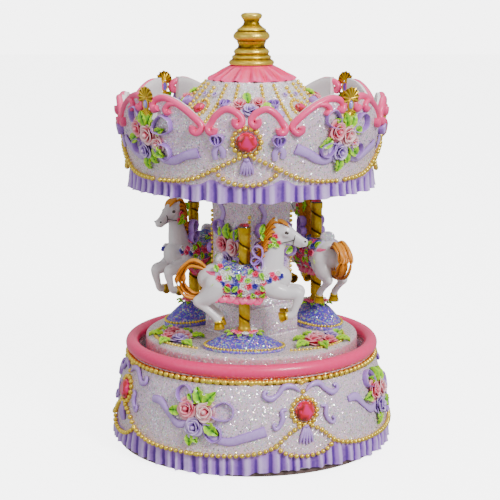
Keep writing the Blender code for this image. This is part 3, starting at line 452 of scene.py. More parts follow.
WHITE_PETAL = ROSE_PINK.tinted(
    "blossom_white", "white_resin", (236, 234, 238), (190, 180, 150), (250, 250, 250)
)
BLUE_PETAL = ROSE_PINK.tinted("blossom_blue", "white_resin", (70, 60, 160), (26, 22, 84), (126, 116, 206))
# On the stones the hollow and crest colours, spread over the facets at random, are painted reflections and
# glints.
PINK_STONE = Finish(
    "pink_stone", "acrylic_stone", (206, 8, 74), (120, 0, 36), (244, 84, 140),
    Relief.EDGE, 0.0, roughness=0.05, metallic=0.25, coat=1.0, grain=0.0, bump=0.0,
)
VIOLET_STONE = PINK_STONE.tinted(
    "violet_stone", "gilt_resin", (160, 150, 226), (120, 104, 200), (206, 200, 244)
)
PLAIN_WHITE = replace(
    HORSE_WHITE, name="inner_white", slot="glitter_resin", body=(218, 214, 216), roughness=0.45, coat=0.0
)
DARK_PAINT = Finish(
    "dark_paint", "white_resin", (26, 16, 14), (8, 6, 6), (60, 50, 48), roughness=0.15, coat=1.0
)
BOARD = Finish(
    "brown_board", "brown_board", (84, 68, 66), (50, 38, 36), (104, 88, 84), roughness=0.6, grain=0.4
)
BRASS = Finish(
    "movement_brass", "brass", (204, 170, 92), (120, 90, 36), (232, 206, 136), roughness=0.28, metallic=1.0
)
STEEL = Finish(
    "spring_steel", "spring_steel", (184, 188, 194), (110, 112, 118), (214, 216, 220), roughness=0.3,
    metallic=1.0,
)
ZINC = Finish(
    "cast_zinc", "cast_zinc", (150, 152, 158), (96, 98, 104), (178, 180, 186), roughness=0.5, metallic=0.9,
    grain=0.3,
)
NYLON = Finish("nylon", "nylon", (226, 224, 214), (190, 186, 172), (238, 236, 228), roughness=0.45)


# Shapes.


def smooth_line(points: Sequence[Row], per_span: int = 8, closed: bool = False) -> np.ndarray:
    """A smooth line through control points (Catmull-Rom), which may carry any number of values each.

    Args:
        points: The control points.
        per_span: Steps between two of them.
        closed: Whether the line ends where it starts.

    Returns:
        The points of the line. A closed line doesn't repeat its first point.
    """
    knots = np.array(points, float)
    count = len(knots)
    spans = count if closed else count - 1
    steps = np.linspace(0, 1, per_span, endpoint=False)[:, None]
    parts = []
    for span in range(spans):
        around = [span - 1, span, span + 1, span + 2]
        if closed:
            a, b, c, d = (knots[i % count] for i in around)
        else:
            a, b, c, d = (knots[min(max(i, 0), count - 1)] for i in around)
        bend = 2 * a - 5 * b + 4 * c - d
        twist = 3 * b - a - 3 * c + d
        parts.append(0.5 * (2 * b + (c - a) * steps + bend * steps**2 + twist * steps**3))
    if not closed:
        parts.append(knots[-1:])
    return np.vstack(parts)


@dataclass
class Shape:
    """A piece's points in millimetres, its faces, and each point's rim value: 0 in hollows, which take
    painted shade, 1 on crests, which take painted highlight.
    """

    points: np.ndarray
    faces: list[tuple[int, ...]]
    rim: np.ndarray

    @staticmethod
    def joined(shapes: Sequence["Shape"]) -> "Shape":
        """Puts several shapes into one.

        Args:
            shapes: The shapes.

        Returns:
            The one shape.
        """
        faces, start = [], 0
        for shape in shapes:
            faces += [tuple(index + start for index in face) for face in shape.faces]
            start += len(shape.points)
        return Shape(np.vstack([s.points for s in shapes]), faces, np.concatenate([s.rim for s in shapes]))

    def moved(self, matrix: Matrix) -> "Shape":
        """The shape moved by a matrix in millimetres."""
        turn = np.array(matrix)
        return Shape(self.points @ turn[:3, :3].T + turn[:3, 3], self.faces, self.rim)


def grid_faces(rows: int, columns: int, wrap: bool, ring: bool = False) -> list[tuple[int, ...]]:
    """The four-sided faces of a grid of points.

    Args:
        rows: How many rows of points there are.
        columns: How many points a row has.
        wrap: Whether the last column joins the first.
        ring: Whether the last row joins the first, too.

    Returns:
        The faces, as point numbers.
    """
    faces = []
    for row in range(rows - 1):
        for column in range(columns if wrap else columns - 1):
            after = (column + 1) % columns
            start, above = row * columns, (row + 1) * columns
            faces.append((start + column, above + column, above + after, start + after))
    if ring:
        last = (rows - 1) * columns
        faces += [(last + i, i, (i + 1) % columns, last + (i + 1) % columns) for i in range(columns)]
    return faces


def end_faces(rows: int, columns: int) -> list[tuple[int, ...]]:
    """The two faces that close a tube of points at its first and its last row."""
    return [tuple(range(columns)), tuple(reversed(range((rows - 1) * columns, rows * columns)))]


def grid(first: np.ndarray, second: np.ndarray) -> tuple[np.ndarray, np.ndarray]:
    """The two coordinates of every point of a grid, row by row."""
    rows, columns = np.meshgrid(first, second, indexing="ij")
    return rows.ravel(), columns.ravel()


def about_axis(radius: np.ndarray | float, turn: np.ndarray, height: np.ndarray | float) -> np.ndarray:
    """Points at these distances, angles and heights about the axis, with angle 0 at the front."""
    return np.column_stack([radius * np.sin(turn), -radius * np.cos(turn), height + 0 * turn])


def full_turn(steps: int) -> np.ndarray:
    """The angles of even steps round the axis."""
    return np.linspace(0, 2 * math.pi, steps, endpoint=False)


def lathe(profile: Sequence[Row], steps: int = 160) -> Shape:
    """A turned body from (radius, height) or (radius, height, rim) points down its outer side.

    Args:
        profile: The points. Ends at radius 0 become a cap, and a ring's profile closes on itself.
        steps: Points round the axis.

    Returns:
        The turned shape.
    """
    line = [tuple(row) + (0.5,) * (3 - len(row)) for row in profile]
    caps = [line[0][0] == 0, line[-1][0] == 0]
    inner = line[1 if caps[0] else 0 : len(line) - 1 if caps[1] else len(line)]
    turn = full_turn(steps)
    points = [about_axis(radius, turn, height) for radius, height, _ in inner]
    rim = [np.full(steps, value) for _, _, value in inner]
    rows = len(inner)
    faces = grid_faces(rows, steps, True, not any(caps))
    if caps[0]:
        points.append(np.array([[0, 0, line[0][1]]]))
        rim.append(np.array([line[0][2]]))
        faces += [(rows * steps, i, (i + 1) % steps) for i in range(steps)]
    if caps[1]:
        pole = rows * steps + int(caps[0])
        points.append(np.array([[0, 0, line[-1][1]]]))
        rim.append(np.array([line[-1][2]]))
        last = (rows - 1) * steps
        faces += [(pole, last + (i + 1) % steps, last + i) for i in range(steps)]
    return Shape(np.vstack(points), faces, np.concatenate(rim))


def rounded(profile: Sequence[Row], per_span: int = 6) -> list[Row]:
    """A profile drawn smoothly through its points."""
    return [tuple(row) for row in smooth_line(profile, per_span)]


def link(obj: bpy.types.Object) -> bpy.types.Object:
    """Puts an object in the scene and gives it back."""
    bpy.context.scene.collection.objects.link(obj)
    return obj


def taken(obj: bpy.types.Object) -> bpy.types.Mesh:
    """The mesh that an object's modifiers make. The object is removed.

    Args:
        obj: The object.

    Returns:
        The mesh.
    """
    bpy.context.view_layer.update()
    evaluated = obj.evaluated_get(bpy.context.evaluated_depsgraph_get())
    mesh = bpy.data.meshes.new_from_object(evaluated)
    bpy.data.objects.remove(obj, do_unlink=True)
    return mesh


def mesh_of(name: str, shape: Shape) -> bpy.types.Mesh:
    """Makes a mesh in metres from a shape, with its rim values and with its faces pointing outwards.

    Args:
        name: The mesh's name.
        shape: The shape in millimetres.

    Returns:
        The mesh.
    """
    mesh = bpy.data.meshes.new(name)
    mesh.from_pydata((shape.points * MM).tolist(), [], shape.faces)
    rim = mesh.attributes.new("rim", "FLOAT", "POINT")
    rim.data.foreach_set("value", shape.rim.astype(np.float32))
    bm = bmesh.new()
    bm.from_mesh(mesh)
    bmesh.ops.remove_doubles(bm, verts=bm.verts, dist=1e-7)
    bmesh.ops.recalc_face_normals(bm, faces=bm.faces)
    bm.to_mesh(mesh)
    bm.free()
    return mesh


def piece(
    name: str,
    made: Shape | bpy.types.Mesh,
    finish: Finish,
    body: str,
    replaces: Sequence[str] = (),
    crease: float = 40.0,
) -> bpy.types.Object:
    """Makes a finished piece: its mesh, its finish, the body it rides on and the CAD nodes it stands for.

    Args:
        name: The piece's name.
        made: Its shape, or its mesh in metres.
        finish: Its finish.
        body: The CAD body it rides on.
        replaces: The CAD nodes that it stands for.
        crease: Edges sharper than this angle in degrees stay sharp.

    Returns:
        The new object.
    """
    mesh = mesh_of(name, made) if isinstance(made, Shape) else made
    mesh.name = name
    mesh.materials.clear()
    mesh.materials.append(finish.material())
    mesh.shade_smooth()
    mesh.set_sharp_from_angle(angle=math.radians(crease))
    obj = link(bpy.data.objects.new(name, mesh))
    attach(obj, body)
    if replaces:
        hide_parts(*replaces)
    log.info("%s: %d faces on %s", name, len(mesh.polygons), body)
    return obj


# Geometry node trees.


@dataclass
class Path:
    """A line over a surface: its points, the direction away from the surface, and its girth at each."""

    points: np.ndarray
    outs: np.ndarray
    girth: np.ndarray
    closed: bool = False


@dataclass
class Spot:
    """A place for one ornament: its point, its outward and rightward directions, and its size."""

    point: np.ndarray
    out: np.ndarray
    right: np.ndarray
    size: float


def named(board: Board, name: str, kind: str) -> Socket:
    """Reads a named attribute in a geometry node tree."""
    return board.add("GeometryNodeInputNamedAttribute", {"Name": name}, data_type=kind)


def dressed(board: Board, geometry: Socket, material: Socket) -> Socket:
    """Ends a tree: realises its instances, shades them smooth and gives them their material."""
    real = board.add("GeometryNodeRealizeInstances", {0: geometry})
    smooth = board.add("GeometryNodeSetShadeSmooth", {0: real, "Shade Smooth": True})
    return board.add("GeometryNodeSetMaterial", {0: smooth, "Material": material})


def thread_beads_tree() -> Tree:
    """The tree that threads round beads on a line, one every Pitch.

    Returns:
        The geometry node tree.
    """
    ins = {"Geometry": GEOMETRY, "Pitch": FLOAT, "Bead": FLOAT, "Material": MATERIAL}
    board, get, finish = new_tree("thread_beads", "GeometryNodeTree", ins, {"Geometry": GEOMETRY})
    line = board.add("GeometryNodeMeshToCurve", {0: get["Geometry"]})
    line = board.add("GeometryNodeResampleCurve", {"Curve": line, "Length": get["Pitch"]}, mode="LENGTH")
    radius = board.math("MULTIPLY", get["Bead"], 0.5)
    bead = board.add("GeometryNodeMeshIcoSphere", {"Radius": radius, "Subdivisions": 2})
    size = board.add("FunctionNodeRandomValue", {2: 0.92, 3: 1.06, "Seed": 4}, 1, data_type="FLOAT")
    beads = board.add("GeometryNodeInstanceOnPoints", {"Points": line, "Instance": bead, "Scale": size})
    finish({"Geometry": dressed(board, beads, get["Material"])})
    return board.tree


def sweep_moulding_tree() -> Tree:
    """The tree that sweeps a rounded section along lines, flat side to the surface below.

    Returns:
        The geometry node tree.
    """
    ins = {
        "Geometry": GEOMETRY, "Width": FLOAT, "Thickness": FLOAT, "Sides": WHOLE, "Material": MATERIAL,
    }
    board, get, finish = new_tree("sweep_moulding", "GeometryNodeTree", ins, {"Geometry": GEOMETRY})
    line = board.add("GeometryNodeMeshToCurve", {0: get["Geometry"]})
    out = named(board, "out", "FLOAT_VECTOR")
    line = board.add("GeometryNodeSetCurveNormal", {"Curve": line, "Normal": out}, mode="FREE")
    ring = board.add(
        "GeometryNodeCurvePrimitiveCircle", {"Resolution": get["Sides"], "Radius": 0.5}, mode="RADIUS"
    )
    scale = board.add("ShaderNodeCombineXYZ", {0: get["Thickness"], 1: get["Width"], 2: 1.0})
    ring = board.add("GeometryNodeTransform", {0: ring, "Scale": scale})
    girth = named(board, "girth", "FLOAT")
    ins = {"Curve": line, "Profile Curve": ring, "Scale": girth, "Fill Caps": True}
    swept = board.add("GeometryNodeCurveToMesh", ins)
    # The rim value paints highlight where the section faces away from the surface and shade on its sides.
    facing = board.vector("DOT_PRODUCT", board.add("GeometryNodeInputNormal"), out, out="Value")
    rim = board.math("ADD", 0.42, board.math("MULTIPLY", facing, 0.34))
    swept = board.add(
        "GeometryNodeStoreNamedAttribute", {0: swept, "Name": "rim", "Value": rim}, data_type="FLOAT"
    )
    finish({"Geometry": dressed(board, swept, get["Material"])})
    return board.tree


def set_on_spots_tree() -> Tree:
    """The tree that sets a copy of an ornament on each point, turned to the point's own directions.

    Returns:
        The geometry node tree.
    """
    ins = {"Geometry": GEOMETRY, "Ornament": OBJECT, "Material": MATERIAL}
    board, get, finish = new_tree("set_on_spots", "GeometryNodeTree", ins, {"Geometry": GEOMETRY})
    spots = board.add("GeometryNodeMeshToPoints", {0: get["Geometry"]})
    item = board.add("GeometryNodeObjectInfo", {"Object": get["Ornament"]}, "Geometry")
    axes = {0: named(board, "out", "FLOAT_VECTOR"), 1: named(board, "right", "FLOAT_VECTOR")}
    turn = board.add("FunctionNodeAxesToRotation", axes, primary_axis="Z", secondary_axis="X")
    ins = {"Points": spots, "Instance": item, "Rotation": turn, "Scale": named(board, "girth", "FLOAT")}
    finish({"Geometry": dressed(board, board.add("GeometryNodeInstanceOnPoints", ins), get["Material"])})
    return board.tree


def wind_petals_tree() -> Tree:
    """The tree that winds petals round a bud: each next one is turned on, larger, lower and more open.

    Returns:
        The geometry node tree.
    """
    ins = {
        "Geometry": GEOMETRY, "Petal": OBJECT, "Petals": WHOLE, "Turn": FLOAT, "Closed": FLOAT,
        "Open": FLOAT, "Smallest": FLOAT, "Sink": FLOAT, "Material": MATERIAL,
    }
    board, get, finish = new_tree("wind_petals", "GeometryNodeTree", ins, {"Geometry": GEOMETRY})
    row = board.add("GeometryNodeMeshLine", {"Count": get["Petals"], "Offset": (0.0, 0.0, 0.0)})
    index = board.add("GeometryNodeInputIndex")
    share = board.math("DIVIDE", index, board.math("SUBTRACT", get["Petals"], 1.0))
    lean = board.add("ShaderNodeMapRange", {0: share, 3: get["Closed"], 4: get["Open"]})
    turn = board.math("MULTIPLY", index, get["Turn"])
    euler = board.add("ShaderNodeCombineXYZ", {0: board.math("MULTIPLY", lean, -1.0), 2: turn})
    rotation = board.add("FunctionNodeEulerToRotation", {0: euler})
    size = board.add("ShaderNodeMapRange", {0: share, 3: get["Smallest"], 4: 1.0})
    drop = board.add(
        "ShaderNodeCombineXYZ", {2: board.math("MULTIPLY", board.math("SUBTRACT", 1.0, share), get["Sink"])}
    )
    row = board.add("GeometryNodeSetPosition", {0: row, "Offset": drop})
    item = board.add("GeometryNodeObjectInfo", {"Object": get["Petal"]}, "Geometry")
    ins = {"Points": row, "Instance": item, "Rotation": rotation, "Scale": size}
    petals = board.add("GeometryNodeInstanceOnPoints", ins)
    both = board.add("GeometryNodeJoinGeometry")
    join = both.node
    board.tree.links.new(petals, join.inputs[0])
    board.tree.links.new(get["Geometry"], join.inputs[0])
    finish({"Geometry": dressed(board, both, get["Material"])})
    return board.tree


def press_pleats_tree() -> Tree:
    """The tree that presses pleats into a band: it moves points in and out, more towards the loose edge.

    Returns:
        The geometry node tree.
    """
    ins = {
        "Geometry": GEOMETRY, "Pleats": FLOAT, "Depth": FLOAT, "Wander": FLOAT, "Seed": FLOAT,
        "Material": MATERIAL,
    }
    board, get, finish = new_tree("press_pleats", "GeometryNodeTree", ins, {"Geometry": GEOMETRY})
    place = board.add("GeometryNodeInputPosition")
    flat = board.vector("MULTIPLY", place, (1.0, 1.0, 0.0))
    out = board.vector("NORMALIZE", flat)
    parts = board.add("ShaderNodeSeparateXYZ", {0: out}).node
    angle = board.math("ARCTAN2", parts.outputs[0], parts.outputs[1])
    ins = {"Vector": out, "W": get["Seed"], "Scale": 4.0, "Detail": 1.0}
    wander = board.add("ShaderNodeTexNoise", ins, noise_dimensions="4D")
    phase = board.math("MULTIPLY", angle, get["Pleats"])
    phase = board.math(
        "ADD", phase, board.math("MULTIPLY", board.math("SUBTRACT", wander, 0.5), get["Wander"])
    )
    wave = board.math("SINE", phase)
    small = board.math("MULTIPLY", board.math("SINE", board.math("MULTIPLY", phase, 2.37)), 0.35)
    lift = board.math("ADD", wave, small)
    fall = named(board, "fall", "FLOAT")
    push = board.math("MULTIPLY", board.math("MULTIPLY", lift, get["Depth"]), fall)
    slow = board.math("SINE", board.math("MULTIPLY", phase, 0.5))
    dip = board.math("MULTIPLY", board.math("MULTIPLY", slow, fall), get["Depth"])
    offset = board.vector(
        "ADD", board.scaled(out, push), board.scaled((0.0, 0.0, 1.0), board.math("MULTIPLY", dip, 0.5))
    )
    moved = board.add("GeometryNodeSetPosition", {0: get["Geometry"], "Offset": offset})
    # The rim value paints highlight on the pleats' crests and shade in the folds between them, more towards
    # the loose edge.
    loose = board.math("MINIMUM", board.math("MULTIPLY", fall, 2.0), 1.0)
    crest_highlight = board.math("ADD", 0.5, board.math("MULTIPLY", board.math("MULTIPLY", lift, 0.45), loose))
    store = {0: moved, "Name": "rim", "Value": crest_highlight}
    moved = board.add("GeometryNodeStoreNamedAttribute", store, data_type="FLOAT")
    finish({"Geometry": dressed(board, moved, get["Material"])})
    return board.tree


def grown(source: bpy.types.Object, tree: str, values: dict[str, object]) -> bpy.types.Mesh:
    """Runs a geometry node tree on an object and gives the result as a plain mesh. The object is removed.

    Args:
        source: The object that the tree starts from.
        tree: The tree's name.
        values: Its inputs by socket name.

    Returns:
        The evaluated mesh.
    """
    modifier = link(source).modifiers.new("Grow", "NODES")
    modifier.node_group = bpy.data.node_groups[tree]
    for item in modifier.node_group.interface.items_tree:
        if item.in_out == "INPUT" and item.name in values:
            modifier[item.identifier] = values[item.name]
    return taken(source)


def point_mesh(
    name: str, points: np.ndarray, edges: Sequence[Row], vectors: dict, numbers: dict
) -> bpy.types.Object:
    """An object of bare points and edges that carries attributes for a geometry node tree.

    Args:
        name: Its name.
        points: The points in millimetres.
        edges: Pairs of point numbers.
        vectors: Vector attributes by name.
        numbers: Number attributes by name.

    Returns:
        The object, not yet in the scene.
    """
    mesh = bpy.data.meshes.new(name)
    mesh.from_pydata((points * MM).tolist(), list(edges), [])
    for key, value in vectors.items():
        mesh.attributes.new(key, "FLOAT_VECTOR", "POINT").data.foreach_set(
            "vector", value.astype(np.float32).ravel()
        )
    for key, value in numbers.items():
        mesh.attributes.new(key, "FLOAT", "POINT").data.foreach_set("value", value.astype(np.float32))
    return bpy.data.objects.new(name, mesh)


def lines_object(paths: Sequence[Path]) -> bpy.types.Object:
    """The lines of several paths as one object, for the trees that follow lines.

    Args:
        paths: The paths.

    Returns:
        The object, not yet in the scene.
    """
    edges, start = [], 0
    for path in paths:
        count = len(path.points)
        edges += [(start + i, start + i + 1) for i in range(count - 1)]
        if path.closed:
            edges.append((start + count - 1, start))
        start += count
    points = np.vstack([path.points for path in paths])
    vectors = {"out": np.vstack([path.outs for path in paths])}
    return point_mesh(
        "lines", points, edges, vectors, {"girth": np.concatenate([path.girth for path in paths])}
    )


# Ornaments.


@dataclass(frozen=True)
class TurnedSide:
    """One side of a turned body as (radius, height), from its inner or upper to its outer or lower end."""

    outline: tuple[tuple[float, float], ...]

    def runs(self) -> tuple[np.ndarray, np.ndarray]:
        """The outline as an array, and how far along it each point lies."""
        line = np.array(self.outline, float)
        return line, np.concatenate([[0.0], np.cumsum(np.linalg.norm(np.diff(line, axis=0), axis=1))])

    def at(self, height: float) -> float:
        """How far along the side this height lies."""
        line, run = self.runs()
        return float(np.interp(-height, -line[:, 1], run))

    def wrap(self, flat: np.ndarray, azimuth: float, start: float) -> np.ndarray:
        """Lays flat (right, up, out) points on the side.

        Args:
            flat: The points.
            azimuth: Where the flat origin goes round the axis.
            start: Where it goes along the side.

        Returns:
            The points in space.
        """
        line, run = self.runs()
        along = start - flat[:, 1]
        radius, height = np.interp(along, run, line[:, 0]), np.interp(along, run, line[:, 1])
        step = 1.0
        rise = [np.interp(along + s, run, line[:, k]) for k in (0, 1) for s in (-step, step)]
        lean = np.column_stack([-(rise[3] - rise[2]), rise[1] - rise[0]])
        lean /= np.linalg.norm(lean, axis=1)[:, None]
        turn = math.radians(azimuth) + flat[:, 0] / float(np.interp(start, run, line[:, 0]))
        radius = radius + flat[:, 2] * lean[:, 0]
        return about_axis(radius, turn, height + flat[:, 2] * lean[:, 1])

    def seat(self, azimuth: float, height: float) -> Seat:
        """A seat whose origin is at this azimuth and height."""
        start = self.at(height)
        return lambda flat: self.wrap(flat, azimuth, start)

    def band(self, tops: np.ndarray, bottoms: np.ndarray | float, layers: Sequence[Row]) -> Shape:
        """A closed band round the side.

        Args:
            tops: The height of its upper edge at even steps round the axis.
            bottoms: The height of its lower edge.
            layers: For each ring of points, how far down the band it lies, from 0 to 1, and how far out.

        Returns:
            The band.
        """
        line = np.array(self.outline, float)
        turn = np.radians(np.linspace(0, 360, len(tops), endpoint=False))
        points = []
        for share, out in layers:
            heights = tops + (bottoms - tops) * share
            radius = np.interp(-heights, -line[:, 1], line[:, 0]) + out
            points.append(about_axis(radius, turn, heights))
        faces = grid_faces(len(layers), len(tops), True, True)
        return Shape(np.vstack(points), faces, np.full(len(layers) * len(tops), 0.5))


def frame_seat(frame_matrix: Matrix) -> Seat:
    """A flat seat: its right, up and out are the frame's X, Y and Z."""
    turn = np.array(frame_matrix)
    return lambda flat: flat @ turn[:3, :3].T + turn[:3, 3]


def upright_frame(azimuth: float, radius: float, height: float, lean: float = 0.0) -> Matrix:
    """A frame that faces outwards at this azimuth: X right, Y up, Z out, leaning back by some degrees."""
    turn = Matrix.Rotation(math.radians(azimuth), 4, "Z")
    place = Matrix.Translation((0, -radius, height))
    return turn @ place @ Matrix.Rotation(math.radians(90 - lean), 4, "X")


def level_frame(azimuth: float, radius: float, height: float) -> Matrix:
    """A frame that faces up at this azimuth: X to the side, Y towards the axis, Z up."""
    return Matrix.Rotation(math.radians(azimuth), 4, "Z") @ Matrix.Translation((0, -radius, height))


def path_on(seat: Seat, knots: Sequence[Row], per_span: int = 6, closed: bool = False) -> Path:
    """A smooth path on a seat through (right, up, out, girth) knots. Out defaults to 0 and girth to 1.

    Args:
        seat: Where it lies.
        knots: The knots.
        per_span: Steps between two knots.
        closed: Whether it ends where it starts.

    Returns:
        The path.
    """
    full = [tuple(knot) + (0.0, 1.0)[len(knot) - 2 :] for knot in knots]
    line = smooth_line(full, per_span, closed)
    points = seat(line[:, :3])
    outs = seat(line[:, :3] + np.array([0, 0, 0.1])) - points
    return Path(points, outs / np.linalg.norm(outs, axis=1)[:, None], line[:, 3], closed)


def spot_on(seat: Seat, x: float, y: float, lift: float, size: float, turn: float = 0.0) -> Spot:
    """A spot on a seat, turned by some degrees about its outward direction.

    Args:
        seat: Where it lies.
        x: Its place to the right.
        y: Its place upwards.
        lift: How far it stands off.
        size: The ornament's size.
        turn: The turn in degrees.

    Returns:
        The spot.
    """
    step = 0.1
    turned = math.radians(turn)
    flat = np.array(
        [[x, y, lift], [x, y, lift + step], [x + step * math.cos(turned), y + step * math.sin(turned), lift]]
    )
    here, out, right = seat(flat)
    return Spot(here, (out - here) / step, (right - here) / step, size)


def mirrored(knots: Sequence[Row]) -> list[Row]:
    """The same knots on the other side of the flat Y axis."""
    return [(-knot[0], *knot[1:]) for knot in knots]


def sheet_faces(rows: int, columns: int) -> list[tuple[int, ...]]:
    """The faces of a closed sheet: its front's grid, the same grid behind it, and the edge between them.

    Args:
        rows: How many rows of points each side has.
        columns: How many points a row has.

    Returns:
        The faces, as point numbers. The back's points follow the front's.
    """
    count = rows * columns
    faces = grid_faces(rows, columns, False)
    faces += [tuple(count + index for index in reversed(face)) for face in faces]
    border = [row * columns for row in range(rows)]
    border += [(rows - 1) * columns + column for column in range(1, columns)]
    border += [row * columns + columns - 1 for row in reversed(range(rows - 1))]
    border += list(reversed(range(1, columns - 1)))
    faces += [(a, b, count + b, count + a) for a, b in zip(border, border[1:] + border[:1])]
    return faces


def thick_sheet(front: np.ndarray, rows: int, columns: int, thickness: float, rim: np.ndarray) -> Shape:
    """A closed thin solid from the grid of its front side.

    Args:
        front: The front's points, row by row.
        rows: How many rows there are.
        columns: How many points a row has.
        thickness: How far behind the front its back lies, along -Z.
        rim: The front's rim values.

    Returns:
        The solid.
    """
    back = front - np.array([0, 0, thickness])
    # The back's lower rim values paint it in more shade than the front.
    return Shape(np.vstack([front, back]), sheet_faces(rows, columns), np.concatenate([rim, rim * 0.6]))


def petal_shape() -> Shape:
    """One cupped petal that stands at +Y of the bud, for a rose one millimetre across.

    Returns:
        The petal.
    """
    rows, columns = 5, 5
    up, across = grid(np.linspace(0, 1, rows), np.linspace(-1, 1, columns))
    width = 0.1 + 0.26 * np.sin(np.pi * np.clip(0.12 + 0.62 * up, 0, 1))
    x = across * width
    z = 0.5 * up * (1 - 0.2 * across**2)
    y = 0.1 + 0.06 * up - 0.13 * across**2 + 0.1 * up**4
    front = np.column_stack([x, z, -y])
    # The rim values paint shade at the petal's foot and highlight towards its edge.
    sheet = thick_sheet(front, rows, columns, 0.05, up**1.6)
    sheet.points = np.column_stack([sheet.points[:, 0], -sheet.points[:, 2], sheet.points[:, 1]])
    return sheet


def leaf_shape() -> Shape:
    """A creased leaf one millimetre long with notched edges. Its stem is at the origin and its tip at +Y.

    Returns:
        The leaf.
    """
    rows, columns = 9, 5
    along, across = grid(np.linspace(0, 1, rows), np.linspace(-1, 1, columns))
    notches = np.cos(along * 20)
    width = 0.05 + 0.27 * np.sin(np.pi * along**0.8) * (1 + 0.16 * notches)
    height = 0.12 + 0.14 * np.abs(across) + 0.16 * np.sin(np.pi * along) - 0.05 * notches * np.abs(across)
    front = np.column_stack([across * width, along, height])
    # The rim values paint shade along the middle crease and in the notches, and highlight towards the edges.
    rim = np.clip(0.1 + 0.9 * np.abs(across) ** 0.7 - 0.12 * notches, 0, 1)
    return thick_sheet(front, rows, columns, 0.16, rim)


def blossom_shape() -> Shape:
    """A five-petalled blossom one millimetre across with a raised centre.

    Returns:
        The blossom.
    """
    steps, lobes = 20, 5
    turn = full_turn(steps)
    outline = 0.36 + 0.14 * np.abs(np.cos(lobes / 2 * turn)) ** 0.7
    # Each ring's last value paints shade in the dip round the centre and highlight towards the petal tips.
    rings = ((0.22, 0.27, 0.6), (0.36, 0.16, 0.0), (0.85, 0.26, 0.8), (1.0, 0.14, 1.0), (0.55, 0.0, 0.4))
    points, rim = [], []
    for share, height, value in rings:
        reach = share * outline
        points.append(np.column_stack([reach * np.cos(turn), reach * np.sin(turn), np.full(steps, height)]))
        rim.append(np.full(steps, value))
    faces = grid_faces(len(rings), steps, True) + end_faces(len(rings), steps)
    return Shape(np.vstack(points), faces, np.concatenate(rim))


def stone_shape(sides: int = 12) -> Shape:
    """A cut stone one millimetre across: table, crown facets and girdle. Its rim values are mixed at random,
    to paint reflections and glints over its facets.

    Args:
        sides: How many facets go round it.

    Returns:
        The stone.
    """
    half = math.pi / sides
    rings = ((0.28, 0, 0.26), (0.43, 1, 0.18), (0.5, 0, 0.07), (0.5, 0, 0.0))
    points = []
    for radius, shift, height in rings:
        turns = [(2 * i + shift) * half for i in range(sides)]
        points += [(radius * math.cos(turn), radius * math.sin(turn), height) for turn in turns]
    faces = end_faces(len(rings), sides)
    for i in range(sides):
        after = (i + 1) % sides
        faces += [
            (i, sides + i, after),
            (sides + i, sides + after, after),
            (sides + i, 2 * sides + i, 2 * sides + after),
            (sides + i, 2 * sides + after, sides + after),
            (2 * sides + i, 3 * sides + i, 3 * sides + after, 2 * sides + after),
        ]
    # Random rim values paint reflections and glints over the facets.
    dice = random.Random(3)
    rim = np.array([dice.choice((0.0, 0.35, 0.6, 1.0)) for _ in points])
    return Shape(np.array(points), faces, rim)


class Ornament(Enum):
    """The ornaments that are set on spots, each made once at a size of one millimetre."""

    ROSE = "rose"
    LEAF = "leaf"
    BLOSSOM = "blossom"
    STONE = "stone"

    def model(self) -> bpy.types.Object:
        """Gives the ornament's model, which is made the first time.

        Returns:
            The model's object, hidden from renders.
        """
        name = f"model_{self.value}"
        made = bpy.data.objects.get(name)
        if made is None:
            made = link(bpy.data.objects.new(name, self.mesh(name)))
            made.hide_render = True
        return made

    def mesh(self, name: str) -> bpy.types.Mesh:
        """The ornament's mesh. A rose is wound from petals round a bud.

        Args:
            name: The mesh's name.

        Returns:
            The mesh.
        """
        if self is not Ornament.ROSE:
            shapes = {
                Ornament.LEAF: leaf_shape, Ornament.BLOSSOM: blossom_shape, Ornament.STONE: stone_shape
            }
            return mesh_of(name, shapes[self]())
        petal = link(bpy.data.objects.new("petal", mesh_of("petal", petal_shape())))
        # The bud's third values paint highlight on its top and shade at its foot.
        bud = lathe([(0, 0.42, 0.9), (0.06, 0.4, 0.7), (0.11, 0.3, 0.2), (0.1, 0.1, 0.0), (0, 0.0, 0.0)], 10)
        source = bpy.data.objects.new("bud", mesh_of("bud", bud))
        values = {
            "Petal": petal, "Petals": 11, "Turn": 2.4, "Closed": 0.02, "Open": 1.12,
            "Smallest": 0.62, "Sink": 0.06 * MM,
        }
        made = grown(source, "wind_petals", values)
        bpy.data.objects.remove(petal, do_unlink=True)
        return made

    @staticmethod
    def clear() -> None:
        """Removes the models once every ornament is set."""
        for kind in Ornament:
            made = bpy.data.objects.get(f"model_{kind.value}")
            if made is not None:
                bpy.data.objects.remove(made, do_unlink=True)


@dataclass(frozen=True)
class Section:
    """The section of a swept moulding: its name, width along the surface, thickness, sides and finish."""

    name: str
    width: float
    thickness: float
    finish: Finish
    sides: int = 8


